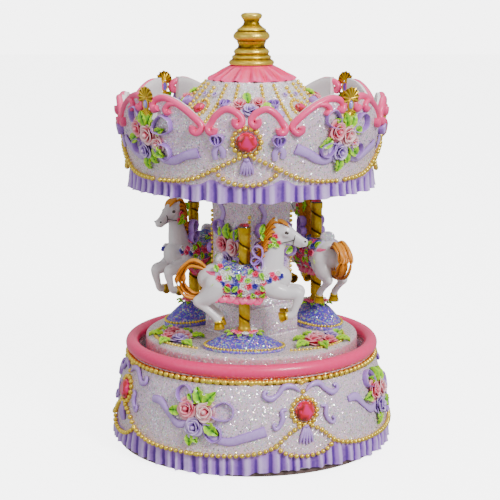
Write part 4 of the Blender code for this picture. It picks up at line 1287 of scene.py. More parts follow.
@dataclass
class Trim:
    """The ornaments of one sub-assembly, gathered by kind and then made as one piece of each kind."""

    prefix: str
    body: str
    spots: dict[tuple[Ornament, Finish], list[Spot]] = field(default_factory=dict)
    strings: dict[tuple[float, float], list[Path]] = field(default_factory=dict)
    sweeps: dict[Section, list[Path]] = field(default_factory=dict)

    def set(self, kind: Ornament, finish: Finish, *spots: Spot) -> None:
        """Adds ornaments on spots."""
        self.spots.setdefault((kind, finish), []).extend(spots)

    def thread(self, bead: float, pitch: float, *paths: Path) -> None:
        """Adds strings of beads."""
        self.strings.setdefault((bead, pitch), []).extend(paths)

    def sweep(self, section: Section, *paths: Path) -> None:
        """Adds swept mouldings."""
        self.sweeps.setdefault(section, []).extend(paths)

    def make(self, stands_for: Sequence[str] = ()) -> None:
        """Makes the pieces.

        Args:
            stands_for: CAD nodes that the stones stand for.
        """
        for (kind, finish), spots in self.spots.items():
            points = np.array([spot.point for spot in spots])
            vectors = {"out": np.array([s.out for s in spots]), "right": np.array([s.right for s in spots])}
            source = point_mesh("spots", points, [], vectors, {"girth": np.array([s.size for s in spots])})
            mesh = grown(source, "set_on_spots", {"Ornament": kind.model(), "Material": finish.material()})
            stone = kind is Ornament.STONE
            nodes = stands_for if stone and finish is PINK_STONE else ()
            piece(
                f"{self.prefix}_{finish.name}_{kind.value}s", mesh, finish, self.body, nodes,
                2.0 if stone else 50.0,
            )
        for (bead, pitch), paths in self.strings.items():
            values = {"Pitch": pitch * MM, "Bead": bead * MM, "Material": GILT.material()}
            mesh = grown(lines_object(paths), "thread_beads", values)
            piece(f"{self.prefix}_beads_{round(bead * 10)}", mesh, GILT, self.body, (), 60.0)
        for section, paths in self.sweeps.items():
            values = {
                "Width": section.width * MM,
                "Thickness": section.thickness * MM,
                "Sides": section.sides,
                "Material": section.finish.material(),
            }
            mesh = grown(lines_object(paths), "sweep_moulding", values)
            piece(f"{self.prefix}_{section.name}", mesh, section.finish, self.body, (), 60.0)


ROSE_SPREAD = 1.22
CHAIN_BED = Section(
    "chain_bed", 2.8, 1.0, replace(GILT, name="dark_gilt", body=(92, 70, 22), crest_highlight=(120, 96, 34))
)
RIBBON = Section("ribbons", 3.4, 1.1, LAVENDER)
LOOP = Section("bow_loops", 1.0, 3.6, LAVENDER)
CURL = Section("curls", 2.0, 1.5, LAVENDER)
TASSEL = Section("tassels", 1.7, 1.8, LAVENDER)
SCROLL = Section("scrolls", 3.3, 3.6, PINK_GLOSS, 12)


@dataclass(frozen=True)
class Bouquet:
    """A bouquet tied with a bow: roses, leaves, standing ribbon loops and tails, in flat millimetres."""

    roses: tuple[tuple[Finish, float, float, float], ...]
    leaves: tuple[tuple[float, float, float, float], ...]
    loops: tuple[tuple[float, float, float, float], ...] = ()
    tails: tuple[tuple[Row, ...], ...] = ()

    def lay(self, trim: Trim, seat: Seat, size: float = 1.0) -> None:
        """Adds the bouquet to a trim on a seat.

        Args:
            trim: The trim that gathers it.
            seat: Where it lies.
            size: How much larger than drawn it is.
        """
        for index, (finish, x, y, across) in enumerate(self.roses):
            spot = spot_on(seat, x * size, y * size, 0.3, ROSE_SPREAD * across * size, 70 * index)
            trim.set(Ornament.ROSE, finish, spot)
        for x, y, length, turn in self.leaves:
            trim.set(Ornament.LEAF, LEAF, spot_on(seat, x * size, y * size, 0.0, length * size, turn))
        for x, y, across, turn in self.loops:
            trim.sweep(LOOP, ribbon_loop(seat, x * size, y * size, across * size, turn))
        for tail in self.tails:
            trim.sweep(RIBBON, path_on(seat, [(k[0] * size, k[1] * size, *k[2:]) for k in tail]))


def ribbon_loop(seat: Seat, x: float, y: float, across: float, turn: float) -> Path:
    """A ribbon loop that stands on a seat: a teardrop drawn out from its knot.

    Args:
        seat: Where it stands.
        x: The knot's place to the right.
        y: The knot's place upwards.
        across: The loop's length.
        turn: The direction that it points in, in degrees.

    Returns:
        The loop's path.
    """
    turned = math.radians(turn)
    knots = []
    for out, side in (
        (0.0, 0.0), (0.3, 0.26), (0.72, 0.36), (1.0, 0.08), (0.86, -0.3), (0.4, -0.3), (0.02, -0.04)
    ):
        right = x + across * (out * math.cos(turned) - side * math.sin(turned))
        up = y + across * (out * math.sin(turned) + side * math.cos(turned))
        knots.append((right, up, 1.1, 1.0))
    return path_on(seat, knots)


def oval_path(seat: Seat, half_width: float, half_height: float, lift: float, up: float = 0.0) -> Path:
    """A closed oval path on a seat, this far off it and this far above its origin."""
    turns = [math.radians(20 * step) for step in range(18)]
    knots = [(half_width * math.cos(t), half_height * math.sin(t) + up, lift) for t in turns]
    return path_on(seat, knots, 3, True)


def jewel_setting(trim: Trim, seat: Seat, stone: float, ring: float, bead: float) -> None:
    """Adds a cut stone and its ring of beads.

    Args:
        trim: The trim that gathers them.
        seat: Where the stone lies.
        stone: The stone's width.
        ring: The ring's radius.
        bead: The beads' width.
    """
    trim.set(Ornament.STONE, PINK_STONE, spot_on(seat, 0, 0, 0.7, stone))
    beads = 14
    trim.thread(bead, 2 * math.pi * ring / beads, oval_path(seat, ring, ring, 0.7))


def tassel(trim: Trim, seat: Seat, top: float, length: float, width: float) -> None:
    """Adds a tassel of five strands that fan out below a knot.

    Args:
        trim: The trim that gathers it.
        seat: The jewel's seat.
        top: The knot's height on it.
        length: The strands' length.
        width: The tassel's width at its foot.
    """
    for strand in range(5):
        side = (strand - 2) / 2
        knots = [(side * 0.8, top, 0.8, 0.7), (side * width * 0.36, top - length * 0.45, 1.1, 1.0)]
        knots.append((side * width / 2, top - length * (1 - 0.12 * abs(side)), 0.7, 0.6))
        trim.sweep(TASSEL, path_on(seat, knots))
    knot = [(-1.2, top + 0.2, 1.0, 0.8), (0, top + 0.3, 1.3, 1.1), (1.2, top + 0.2, 1.0, 0.8)]
    trim.sweep(TASSEL, path_on(seat, knot))


@dataclass(frozen=True)
class Ruffle:
    """A pleated lavender frill round a wall, between two edges that rise and fall."""

    name: str
    body: str
    side: TurnedSide
    top: Callable[[float], float]
    bottom: Callable[[float], float]
    pleats: int
    depth: float
    flare: float
    seed: float

    def make(self) -> None:
        """Makes the frill as a closed band and presses its pleats."""
        columns, rows = 720, 7
        front, back = 0.5, -0.9
        turns = np.linspace(0, 360, columns, endpoint=False)
        tops = np.array([self.top(turn) for turn in turns])
        bottoms = np.array([self.bottom(turn) for turn in turns])
        shares = [row / (rows - 1) for row in range(rows)]
        layers = [(share, front + self.flare * share**1.5) for share in shares]
        layers += [(share, back + self.flare * share**1.5) for share in reversed(shares)]
        mesh = mesh_of(self.name, self.side.band(tops, bottoms, layers))
        fall = np.repeat([0.12 + 0.88 * share**0.6 for share, _ in layers], columns)
        values = mesh.attributes.new("fall", "FLOAT", "POINT")
        values.data.foreach_set("value", fall.astype(np.float32))
        source = bpy.data.objects.new(self.name, mesh)
        values = {
            "Pleats": float(self.pleats), "Depth": self.depth * MM, "Wander": 13.0, "Seed": self.seed,
            "Material": LAVENDER.material(),
        }
        piece(self.name, grown(source, "press_pleats", values), LAVENDER, self.body, (), 60.0)


# Base.


@dataclass
class Base:
    """The round base: its wall, frill, bead chain, jewels, bouquets and scrolls, and the pink rim."""

    jewel_turn: float = 22.0
    rose_turn: float = -22.6
    jewel_height: float = 31.0
    rose_height: float = 30.0
    rim_radius: float = 61.1
    rim_height: float = 50.0
    rim_tube: float = 3.3
    chain_bead: float = 3.2
    swag_bead: float = 2.4
    side: TurnedSide = TurnedSide(
        (
            (61.8, 46.6), (63.0, 44.6), (64.6, 40.0), (66.8, 31.5), (68.7, 21.5), (69.5, 12.0), (69.4, 6.0),
            (68.6, 2.8),
        )
    )
    bouquet: Bouquet = Bouquet(
        roses=(
            (ROSE_PINK, -5.0, 1.6, 9.0),
            (ROSE_BLUSH, 4.4, 0.9, 9.4),
            (ROSE_LAVENDER, -0.6, -7.0, 9.0),
        ),
        leaves=(
            (2.2, 4.5, 8.5, 20), (3.5, 4.0, 8.5, -38), (0.6, 5.0, 7.0, 60), (-7.5, 0.4, 7.5, 95),
            (4.5, -4.5, 8.5, -125), (3.2, -5.5, 6.5, -95), (-2.6, -9.6, 6.5, 178), (-1.6, -9.4, 5.5, -150),
        ),
        loops=((-2.0, 4.0, 11.0, 142), (6.0, 0.0, 12.0, 12), (4.0, -5.0, 10.0, -42)),
        tails=(
            (
                (-2, -4, 0.6, 0.5), (-9, -6.5, 0.9, 1.1), (-15, -3.0, 0.6, 0.8), (-21, 2.5, 1.0, 1.2),
                (-27, 2.6, 0.6, 0.9),
            ),
            (
                (2, -6, 0.6, 0.5), (9, -11, 0.9, 1.0), (16, -12.5, 0.6, 1.2), (24, -10.0, 1.0, 1.3),
                (33, -7.2, 0.6, 1.5),
            ),
        ),
    )

    def make(self) -> None:
        """Makes and dresses the base."""
        self.make_wall()
        trim = Trim("base", "base")
        chain = [(math.radians(5 * step) * 63.4, 0.0, 0.4) for step in range(72)]
        trim.thread(self.chain_bead, 3.55, path_on(self.side.seat(0.0, 44.9), chain, 2, True))
        bed = [(x, 0.0, 0.2) for x, _, _ in chain]
        trim.sweep(CHAIN_BED, path_on(self.side.seat(0.0, 44.9), bed, 2, True))
        for quarter in range(4):
            self.dress_jewel(trim, self.side.seat(self.jewel_turn + 90 * quarter, self.jewel_height))
            self.bouquet.lay(trim, self.side.seat(self.rose_turn + 90 * quarter, self.rose_height))
        trim.make([f"base_jewel_{k + 1}" for k in range(4)])
        Ruffle("base_ruffle", "base", self.side, self.frill_top, self.frill_bottom, 74, 0.9, 1.5, 1.0).make()

    def make_wall(self) -> None:
        """Makes the wall with the deck inside it, its dark foot and the pink rim."""
        inside = [
            (64.7, 2.8), (64.7, 3.4), (56.6, 3.4), (56.4, 37.9), (6.4, 37.9), (6.4, 40.9), (57.7, 40.9),
            (57.7, 46.6),
        ]
        outside = rounded(self.side.outline, 4)
        piece("base_wall", lathe(outside + inside, 192), PALE_GLITTER, "base", ["base_shell"])
        foot = [(64.4, 2.7), (68.4, 2.7), (68.9, 2.2), (68.9, 0.8), (68.4, 0.3), (64.4, 0.3)]
        piece("base_foot", lathe(list(reversed(foot)), 144), BOARD, "base")
        turns = [math.radians(360 * step / 32) for step in range(32)]
        ring = []
        for turn in reversed(turns):
            out = self.rim_tube * math.cos(turn)
            ring.append((self.rim_radius + out, self.rim_height + self.rim_tube * math.sin(turn)))
        piece("pink_rim", lathe(ring, 192), PINK_GLOSS, "base", ["rim_ring"], 80.0)

    def frill_top(self, turn: float) -> float:
        """The frill's upper edge: it follows the bead swags."""
        off = abs((turn - self.jewel_turn + 45) % 90 - 45)
        return 10.6 + 3.2 * math.exp(-(((off - 12.6) / 4.5) ** 2))

    def frill_bottom(self, turn: float) -> float:
        """The frill's lower edge: it hangs lowest under the roses."""
        return 2.3 - 1.3 * math.cos(math.radians(4 * (turn - self.rose_turn)))

    def dress_jewel(self, trim: Trim, seat: Seat) -> None:
        """Adds one jewel with its beads, swags, tassel and scrolls.

        Args:
            trim: The trim that gathers the ornaments.
            seat: Where the jewel lies.
        """
        jewel_setting(trim, seat, 9.8, 6.4, 2.7)
        trim.thread(self.swag_bead, 2.9, path_on(seat, [(0, 9.3, 0.8), (0, 13.4, 0.8)]))
        swag = [
            (3.2, -7.2, 1.2), (8.5, -10.2, 1.2), (15, -15.8, 1.2), (22, -18.4, 1.4), (33, -19.9, 1.6),
            (54.3, -20.4, 1.6),
        ]
        lens = [(14.6, -15.9, 1.2), (11, -18.8, 1.6), (6, -20.6, 1.8), (0, -21.2, 1.8)]
        for line in (swag, mirrored(swag), lens, mirrored(lens)):
            trim.thread(self.swag_bead, 2.75, path_on(seat, line))
        tassel(trim, seat, -7.4, 8.6, 6.4)
        above = [(1.6, 9.4, 0.9, 0.5), (5, 12.0, 1.2, 1.2), (9.4, 12.2, 1.0, 1.5), (12.6, 9.0, 0.8, 1.2)]
        above += [
            (16.2, 6.9, 1.2, 1.5), (19.4, 8.0, 1.4, 1.1), (19.2, 10.2, 1.2, 0.9), (17.6, 9.8, 1.0, 0.7)
        ]
        beside = [
            (8.8, 1.4, 0.8, 0.6), (11.4, 0.8, 1.2, 1.0), (11.0, -2.6, 1.0, 1.2), (12.4, -6.0, 0.8, 1.0)
        ]
        beside += [(14.6, -7.4, 1.2, 0.9), (15.6, -5.6, 1.4, 0.7), (14.4, -4.6, 1.2, 0.6)]
        for line in (above, beside):
            trim.sweep(CURL, path_on(seat, line), path_on(seat, mirrored(line)))


# Turntable, column, mounds and poles.


@dataclass
class Turntable:
    """The turning floor with its bead scallops and rose clusters, and the column that stands on it."""

    radius: float = 54.1
    top: float = 55.1
    column_turn: float = -3.0
    first_mound: float = -5.4
    column_rows: tuple[Row, ...] = (
        (22.5, 131.4), (21.6, 125.0), (20.5, 117.0), (20.4, 105.0), (20.5, 90.0), (20.8, 75.6), (21.2, 74.4),
        (22.4, 73.4), (22.8, 72.4), (24.3, 70.6), (24.6, 69.8), (24.6, 57.0), (25.2, 56.2), (25.2, 55.2),
    )
    cluster: Bouquet = Bouquet(
        roses=(
            (ROSE_PINK, -4.4, 0.8, 7.4), (ROSE_BLUSH, 1.4, 2.4, 7.2), (ROSE_LAVENDER, 6.0, -0.6, 6.8),
            (ROSE_PINK, 0.8, -3.4, 6.2),
        ),
        leaves=(
            (-8.0, 0.4, 6.5, 80), (-5.0, -3.2, 6.0, 150), (4.2, -4.4, 6.0, -150), (10.0, -1.0, 6.0, -75),
            (3.0, 5.6, 5.5, -10), (-3.0, 4.6, 5.5, 25),
        ),
    )
    bouquet: Bouquet = Bouquet(
        roses=(
            (ROSE_PINK, -3.5, 3.4, 7.4), (ROSE_BLUSH, 3.3, 2.6, 7.4), (ROSE_LAVENDER, -0.8, -3.6, 7.0),
            (ROSE_LAVENDER, 6.0, -5.2, 5.6), (ROSE_PINK, -4.6, -9.0, 5.4),
        ),
        leaves=(
            (0.6, 6.0, 7.0, 12), (3.5, 5.6, 6.5, -32), (-2.0, 6.2, 6.0, 42), (6.4, 0.0, 6.0, -88),
            (3.4, -6.6, 6.0, -150), (-4.4, -2.4, 5.5, 120),
            (-3.0, -11.0, 5.5, -170), (-6.0, -11.0, 5.0, 150),
        ),
        loops=((-3.6, 6.6, 8.0, 125), (5.0, 5.6, 8.0, 55), (6.6, -1.0, 7.0, 10)),
        tails=(
            ((-3, 7, 0.5, 0.5), (-6, 12, 0.8, 0.8), (-4, 17, 0.5, 0.8), (-7, 22, 0.7, 0.9)),
            ((1, -7, 0.5, 0.5), (4, -12, 0.8, 0.9), (1, -17, 0.5, 0.9), (3.4, -22, 0.7, 1.0)),
        ),
    )

    def make(self) -> None:
        """Makes and dresses the turntable and the column."""
        under, side = 50.7, 43.4
        # The third values paint highlight over the top face and shade down the side and under the lip.
        profile = [
            (0, self.top, 1.0), (30, self.top, 1.0), (51.0, self.top, 1.0), (52.9, 54.9, 0.9),
            (53.8, 54.3, 0.6), (self.radius, 53.4, 0.25), (self.radius, 49.0, 0.1), (self.radius, 44.2, 0.0),
            (53.7, side, 0.0), (51.4, side, 0.0), (51.1, 44.0, 0.0), (51.1, under, 0.3), (0, under, 0.3),
        ]
        piece("turntable_floor", lathe(profile, 160), TABLE_GLITTER, "carousel", ["turntable"], 60.0)
        self.make_column()
        trim = Trim("turntable", "carousel")
        for third in range(3):
            between = self.first_mound + 60 + 120 * third
            seat = frame_seat(level_frame(between, 42.0, self.top))
            self.cluster.lay(trim, seat, 1.25)
            turns = [math.radians(between + 15 * (step - 2)) for step in range(5)]
            reaches = (46.4, 49.6, 50.6, 49.6, 46.4)
            points = np.array(
                [[r * math.sin(t), -r * math.cos(t), self.top + 0.4] for r, t in zip(reaches, turns)]
            )
            line = smooth_line(points, 8)
            trim.thread(1.7, 2.0, Path(line, np.tile([0.0, 0.0, 1.0], (len(line), 1)), np.ones(len(line))))
        for quarter in range(4):
            corner = math.radians(self.column_turn + 90 * quarter)
            out = np.array([math.sin(corner), -math.cos(corner), 0.0])
            line = np.array([out * 19.9 + [0, 0, z] for z in np.linspace(117, 82, 12)])
            trim.thread(2.0, 2.3, Path(line, np.tile(out, (12, 1)), np.ones(12)))
            face = frame_seat(upright_frame(self.column_turn + 45 + 90 * quarter, 14.4, 98.0))
            self.bouquet.lay(trim, face, 1.12)
        trim.make()

    def make_column(self) -> None:
        """Makes the square column with softly rounded corners."""
        columns, power = 192, 16.0
        rows = rounded(self.column_rows, 2)
        turn = full_turn(columns)
        off = turn - math.radians(self.column_turn + 45)
        square = (np.abs(np.cos(off)) ** power + np.abs(np.sin(off)) ** power) ** (-1 / power) / math.sqrt(2)
        points = [about_axis(half_diagonal * square, turn, height) for half_diagonal, height in rows]
        faces = grid_faces(len(rows), columns, True) + end_faces(len(rows), columns)
        shape = Shape(np.vstack(points), faces, np.full(len(rows) * columns, 0.5))
        piece(
            "glitter_column", shape, replace(PALE_GLITTER, name="column_glitter"), "carousel", ["column"],
            30.0,
        )


@dataclass
class Station:
    """One horse's place: its mound with beads and blossoms, its grooved pole with a stone, and its horse."""

    number: int
    azimuth: float
    lift: float
    circle: float = 37.0
    floor: float = 55.2
    mound_height: float = 8.3
    pole_length: float = 51.7
    pole_radius: float = 3.0
    groove_pitch: float = 9.0
    groove_depth: float = 0.38

    def make(self) -> None:
        """Makes and dresses the station."""
        trim = Trim(f"station_{self.number}", "carousel")
        self.make_mound(trim)
        self.make_pole(trim)
        Horse(self.number, level_frame(self.azimuth, self.circle, self.lift)).make(trim)
        trim.make([f"pole_jewel_{self.number}"])

    def make_mound(self, trim: Trim) -> None:
        """Makes the oval mound, with a string of beads round its foot and a wreath round its top.

        Args:
            trim: The trim that gathers the ornaments.
        """
        rise = self.mound_height + self.lift
        shares = (
            (0, 1.0), (0.2, 1.0), (0.32, 0.95), (0.5, 0.8), (0.66, 0.62), (0.8, 0.44), (0.9, 0.3),
            (0.955, 0.2), (0.965, 0.17), (1.0, 0.15), (1.01, 0.11), (1.0, 0.04), (0.98, 0.0), (0, 0.0),
        )
        shape = lathe(shares, 96)
        shape.points *= np.array([20.0, 11.8, rise])
        place = level_frame(self.azimuth, self.circle, self.floor)
        piece(
            f"mound_{self.number}_hill", shape.moved(place), VIOLET_GLITTER, "carousel",
            [f"mound_{self.number}"], 60.0,
        )
        seat = frame_seat(place)
        turns = [math.radians(15 * step) for step in range(24)]
        foot = [(19.5 * math.cos(t), 11.5 * math.sin(t), 0.17 * rise + 0.4) for t in turns]
        trim.thread(1.5, 1.7, path_on(seat, foot, 4, True))
        dice = random.Random(self.number)
        for step in range(9):
            turn = math.radians(40 * step)
            finish = (HOT_PINK, WHITE_PETAL, FRILL_PINK)[step % 3]
            spot = spot_on(
                seat, 5.2 * math.cos(turn), 4.8 * math.sin(turn), rise - 0.2, dice.uniform(3.6, 4.4),
                dice.uniform(0, 70),
            )
            trim.set(Ornament.BLOSSOM, finish, spot)
            leaf = spot_on(
                seat, 6.6 * math.cos(turn + 0.3), 5.8 * math.sin(turn + 0.3), rise - 1.0, 3.4,
                math.degrees(turn + 0.3) - 90,
            )
            trim.set(Ornament.LEAF, LEAF, leaf)

    def make_pole(self, trim: Trim) -> None:
        """Makes the gilt pole with its spiral groove and rings, and the stone on its dark cup.

        Args:
            trim: The trim that gathers the ornaments.
        """
        rows, columns = 130, 32
        bottom = self.floor + self.mound_height + self.lift + 0.2
        share, turn = grid(np.linspace(1, 0, rows), full_turn(columns))
        height = share * self.pole_length
        wave = np.cos(turn + 2 * math.pi * height / self.groove_pitch)
        ends = np.clip(np.minimum(height - 1.8, self.pole_length - 2.6 - height) / 0.8, 0, 1)
        groove = np.clip(-wave, 0, 1) ** 8 * self.groove_depth * ends
        ring = 0.35 * (1 - ends)
        radius = self.pole_radius - 0.15 - groove + ring
        points = np.column_stack([radius * np.cos(turn), radius * np.sin(turn), height])
        faces = grid_faces(rows, columns, True) + end_faces(rows, columns)
        # The rim values give the groove the gilt's dark hollow colour, antique patina and painted shade.
        shape = Shape(points, faces, np.clip(0.6 - groove * 1.3 + 0.1 * wave, 0, 1))
        place = level_frame(self.azimuth, self.circle, bottom)
        gilt = replace(GILT, name="pole_gilt", relief=Relief.EDGE, ragged=0.35)
        piece(
            f"pole_{self.number}_grooved", shape.moved(place), gilt, "carousel", [f"pole_{self.number}"],
            60.0,
        )
        top = level_frame(self.azimuth, self.circle, bottom + self.pole_length)
        trim.set(Ornament.STONE, PINK_STONE, spot_on(frame_seat(top), 0, 0, 0.5, 5.2))
        cup = lathe([(0, 0.7), (2.5, 0.7), (2.9, 0.5), (3.05, 0.1), (2.6, -0.1), (0, -0.1)], 40)
        piece(f"pole_{self.number}_cup", cup.moved(top), DARK_PAINT, "carousel")


# Horses.


def ball(radius: float, steps: int = 16) -> Shape:
    """A round ball about the origin.

    Args:
        radius: Its radius.
        steps: Points round it.

    Returns:
        The ball.
    """
    half = steps // 2
    rows = [
        (radius * math.sin(math.pi * i / half), radius * math.cos(math.pi * i / half))
        for i in range(1, half)
    ]
    return lathe([(0, radius), *rows, (0, -radius)], steps)


def strung_balls(chain: Sequence[Row], flat: float, per_span: int = 7) -> list[Shape]:
    """Balls close together along a smooth chain of (x, y, z, radius) knots, flattened sideways.

    Args:
        chain: The knots.
        flat: The balls' width as a share of their height.
        per_span: Balls between two knots.

    Returns:
        The balls.
    """
    made = []
    for x, y, z, radius in smooth_line(chain, per_span):
        made.append(ball(radius).moved(Matrix.Translation((x, y, z)) @ Matrix.Diagonal((1, flat, 1, 1))))
    return made


def fused(name: str, shapes: Sequence[Shape], voxel: float, rounds: int) -> bpy.types.Mesh:
    """Fuses shapes that overlap into one smooth skin.

    Args:
        name: The mesh's name.
        shapes: The shapes.
        voxel: The size of the skin's cells in millimetres.
        rounds: How many times the skin is smoothed.

    Returns:
        The skin's mesh.
    """
    obj = link(bpy.data.objects.new(name, mesh_of(name, Shape.joined(shapes))))
    remesh = obj.modifiers.new("Fuse", "REMESH")
    remesh.mode = "VOXEL"
    remesh.voxel_size = voxel * MM
    smooth = obj.modifiers.new("Smooth", "SMOOTH")
    smooth.factor = 0.5
    smooth.iterations = rounds
    return taken(obj)


def paired(chain: Sequence[Row], aside: float) -> list[list[Row]]:
    """A chain of (x, z, radius) knots on both sides of the horse, this far aside at its start."""
    return [[(x, side * aside, z, radius) for x, z, radius in chain] for side in (-1, 1)]


MANE_LOCK = Section("mane_locks", 3.0, 1.9, MANE)
TAIL_LOCK = Section("tail_locks", 2.6, 2.2, MANE)
STRAP = Section("straps", 2.2, 0.9, FRILL_PINK)
BRIDLE = Section("bridle", 0.5, 0.4, DARK_PAINT, 6)
SADDLE_FRILL = Section("saddle_frill", 5.0, 1.2, FRILL_PINK)


@dataclass
class Horse:
    """A galloping white horse with orange mane, gilt hooves, flowered blanket and glitter saddle."""

    number: int
    place: Matrix
    voxel: float = 0.5
    trunk: tuple[Row, ...] = (
        (-17.5, 0, 89.8, 5.6), (-12.5, 0, 89.8, 8.0), (-4, 0, 88.8, 7.5), (5, 0, 88.6, 7.7),
        (12, 0, 89.8, 7.9), (17.5, 0, 91.0, 5.6),
    )
    neck: tuple[Row, ...] = (
        (11, 0, 92, 7.4), (13.4, 0, 99, 6.0), (14.8, 0, 105.5, 4.7), (16.4, 0, 111, 4.1)
    )
    head: tuple[Row, ...] = (
        (16.6, 0, 114.0, 4.1), (19.6, 0, 113.6, 3.9), (23.4, 0, 111.4, 2.9), (26.8, 0, 109.3, 2.35),
        (28.7, 0, 108.3, 2.3),
    )
    jaw: tuple[Row, ...] = (
        (17.6, 0, 110.8, 3.3), (20.8, 0, 110.0, 2.6), (24.0, 0, 108.4, 1.7), (27.0, 0, 106.9, 1.35)
    )
    foreleg: tuple[Row, ...] = (
        (11.5, 87.5, 5.0), (16, 85.2, 4.3), (21, 84.0, 3.4), (26.2, 83.9, 2.9), (26.6, 81.6, 2.5),
        (25.2, 77.0, 1.9), (24.2, 74.2, 1.8), (22.6, 73.0, 2.0), (20.6, 72.8, 1.8),
    )
    hindleg: tuple[Row, ...] = (
        (-13, 87.6, 6.2), (-15.5, 83.4, 5.2), (-19.6, 80.4, 3.4), (-22.4, 79.0, 2.5), (-19.6, 76.6, 2.0),
        (-15.4, 73.2, 1.8), (-12.8, 70.6, 2.0), (-12.0, 68.4, 1.8),
    )
    ear: tuple[Row, ...] = ((15.4, 116.4, 1.5), (15.3, 118.4, 1.3), (15.5, 120.6, 0.45))

    def make(self, trim: Trim) -> None:
        """Makes the horse and its trappings.

        Args:
            trim: The trim that gathers the ornaments.
        """
        self.make_body()
        self.make_hooves()
        self.make_eyes()
        self.make_saddle()
        self.lay_hair(trim)
        self.lay_blanket(trim)
        self.lay_trappings(trim)

    def shape_mesh(self, mesh: bpy.types.Mesh) -> bpy.types.Mesh:
        """Moves a mesh that is drawn about the horse's own origin to its station.

        Args:
            mesh: The mesh.

        Returns:
            The same mesh.
        """
        place = self.place.copy()
        place.translation *= MM
        mesh.transform(place)
        return mesh

    def make_body(self) -> None:
        """Makes the white body as one fused skin."""
        shapes = []
        for chain, flat in ((self.trunk, 0.86), (self.neck, 0.72), (self.head, 0.78), (self.jaw, 0.72)):
            shapes += strung_balls(chain, flat)
        for chain in (*paired(self.foreleg, 4.2), *paired(self.hindleg, 4.2)):
            shapes += strung_balls(chain, 0.82)
        for chain in paired(self.ear, 1.9):
            shapes += strung_balls(chain, 0.7)
        for side in (-1, 1):
            for x, y, z, radius in (
                (13.5, 3.4, 88.0, 4.9), (-14.0, 3.6, 88.0, 5.6), (28.6, 0.9, 108.7, 1.5),
                (20.3, 2.0, 112.9, 1.9),
            ):
                shapes.append(ball(radius).moved(Matrix.Translation((x, side * y, z))))
        mesh = self.shape_mesh(fused("horse", shapes, self.voxel, 7))
        piece(f"horse_{self.number}_body", mesh, HORSE_WHITE, "carousel", [f"horse_{self.number}"], 80.0)

    def make_hooves(self) -> None:
        """Makes the four gilt hooves, each a cup that widens to its sole."""
        # The third values give the groove and the hollow sole the gilt's dark hollow colour, antique patina
        # and painted shade, and highlight to the ridges.
        profile = (
            (0, -0.6, 0.5), (1.7, -0.6, 0.9), (2.1, 0.0, 0.9), (2.0, 0.5, 0.2), (2.3, 1.6, 0.5),
            (2.75, 3.2, 0.7), (2.6, 3.6, 0.6), (1.9, 3.6, 0.3), (1.6, 3.2, 0.1), (0, 3.1, 0.1),
        )
        cup = lathe(profile, 28)
        parts = []
        for (x, z), (dx, dz) in (((20.9, 72.9), (-0.96, -0.28)), ((-12.2, 69.2), (0.12, -0.99))):
            turn = Vector((dx, 0, dz)).to_track_quat("Z", "Y").to_matrix().to_4x4()
            for side in (-1, 1):
                parts.append(cup.moved(self.place @ Matrix.Translation((x, side * 4.2, z)) @ turn))
        gilt = replace(GILT, name="hoof_gilt", slot="white_resin", relief=Relief.EDGE)
        piece(f"horse_{self.number}_hooves", Shape.joined(parts), gilt, "carousel", (), 50.0)

    def make_eyes(self) -> None:
        """Makes the dark eyes and nostrils."""
        parts = []
        for side in (-1, 1):
            for x, y, z, radius, flat in ((20.7, 3.3, 113.4, 1.0, 0.6), (29.5, 1.9, 109.1, 0.55, 0.6)):
                lens = ball(radius).moved(
                    Matrix.Translation((x, side * y, z)) @ Matrix.Diagonal((1.15, flat, 0.85, 1))
                )
                parts.append(lens.moved(self.place))
        piece(f"horse_{self.number}_eyes", Shape.joined(parts), DARK_PAINT, "carousel", (), 80.0)

    def make_saddle(self) -> None:
        """Makes the glitter saddle with its raised back."""
        seat = [
            (-10.5, 0, 97.4, 2.2), (-8.0, 0, 95.0, 3.2), (-3.0, 0, 93.6, 4.0), (2.0, 0, 93.8, 4.0),
            (6.0, 0, 95.6, 2.6),
        ]
        shapes = strung_balls(seat, 1.75)
        for side in (-1, 1):
            flap = [(-4, side * 5.6, 93.5, 2.6), (-3, side * 6.6, 90.5, 2.3), (-2.2, side * 6.9, 87.5, 1.9)]
            shapes += strung_balls(flap, 0.6)
            flap = [(0.5, side * 5.6, 93.5, 2.6), (0.6, side * 6.6, 90.5, 2.2), (0.2, side * 6.9, 87.8, 1.8)]
            shapes += strung_balls(flap, 0.6)
        mesh = self.shape_mesh(fused("saddle", shapes, 0.5, 4))
        piece(f"horse_{self.number}_saddle", mesh, SADDLE_GLITTER, "carousel", (), 80.0)
        knob = strung_balls([(-11.6, 0, 97.6, 1.9), (-12.3, 0, 99.3, 2.2), (-12.0, 0, 100.7, 1.7)], 2.0)
        mesh = self.shape_mesh(fused("saddle_back", knob, 0.45, 4))
        silver = replace(PALE_GLITTER, name="silver_glitter", slot="white_resin", body=(150, 146, 166))
        piece(f"horse_{self.number}_saddle_back", mesh, silver, "carousel", (), 80.0)

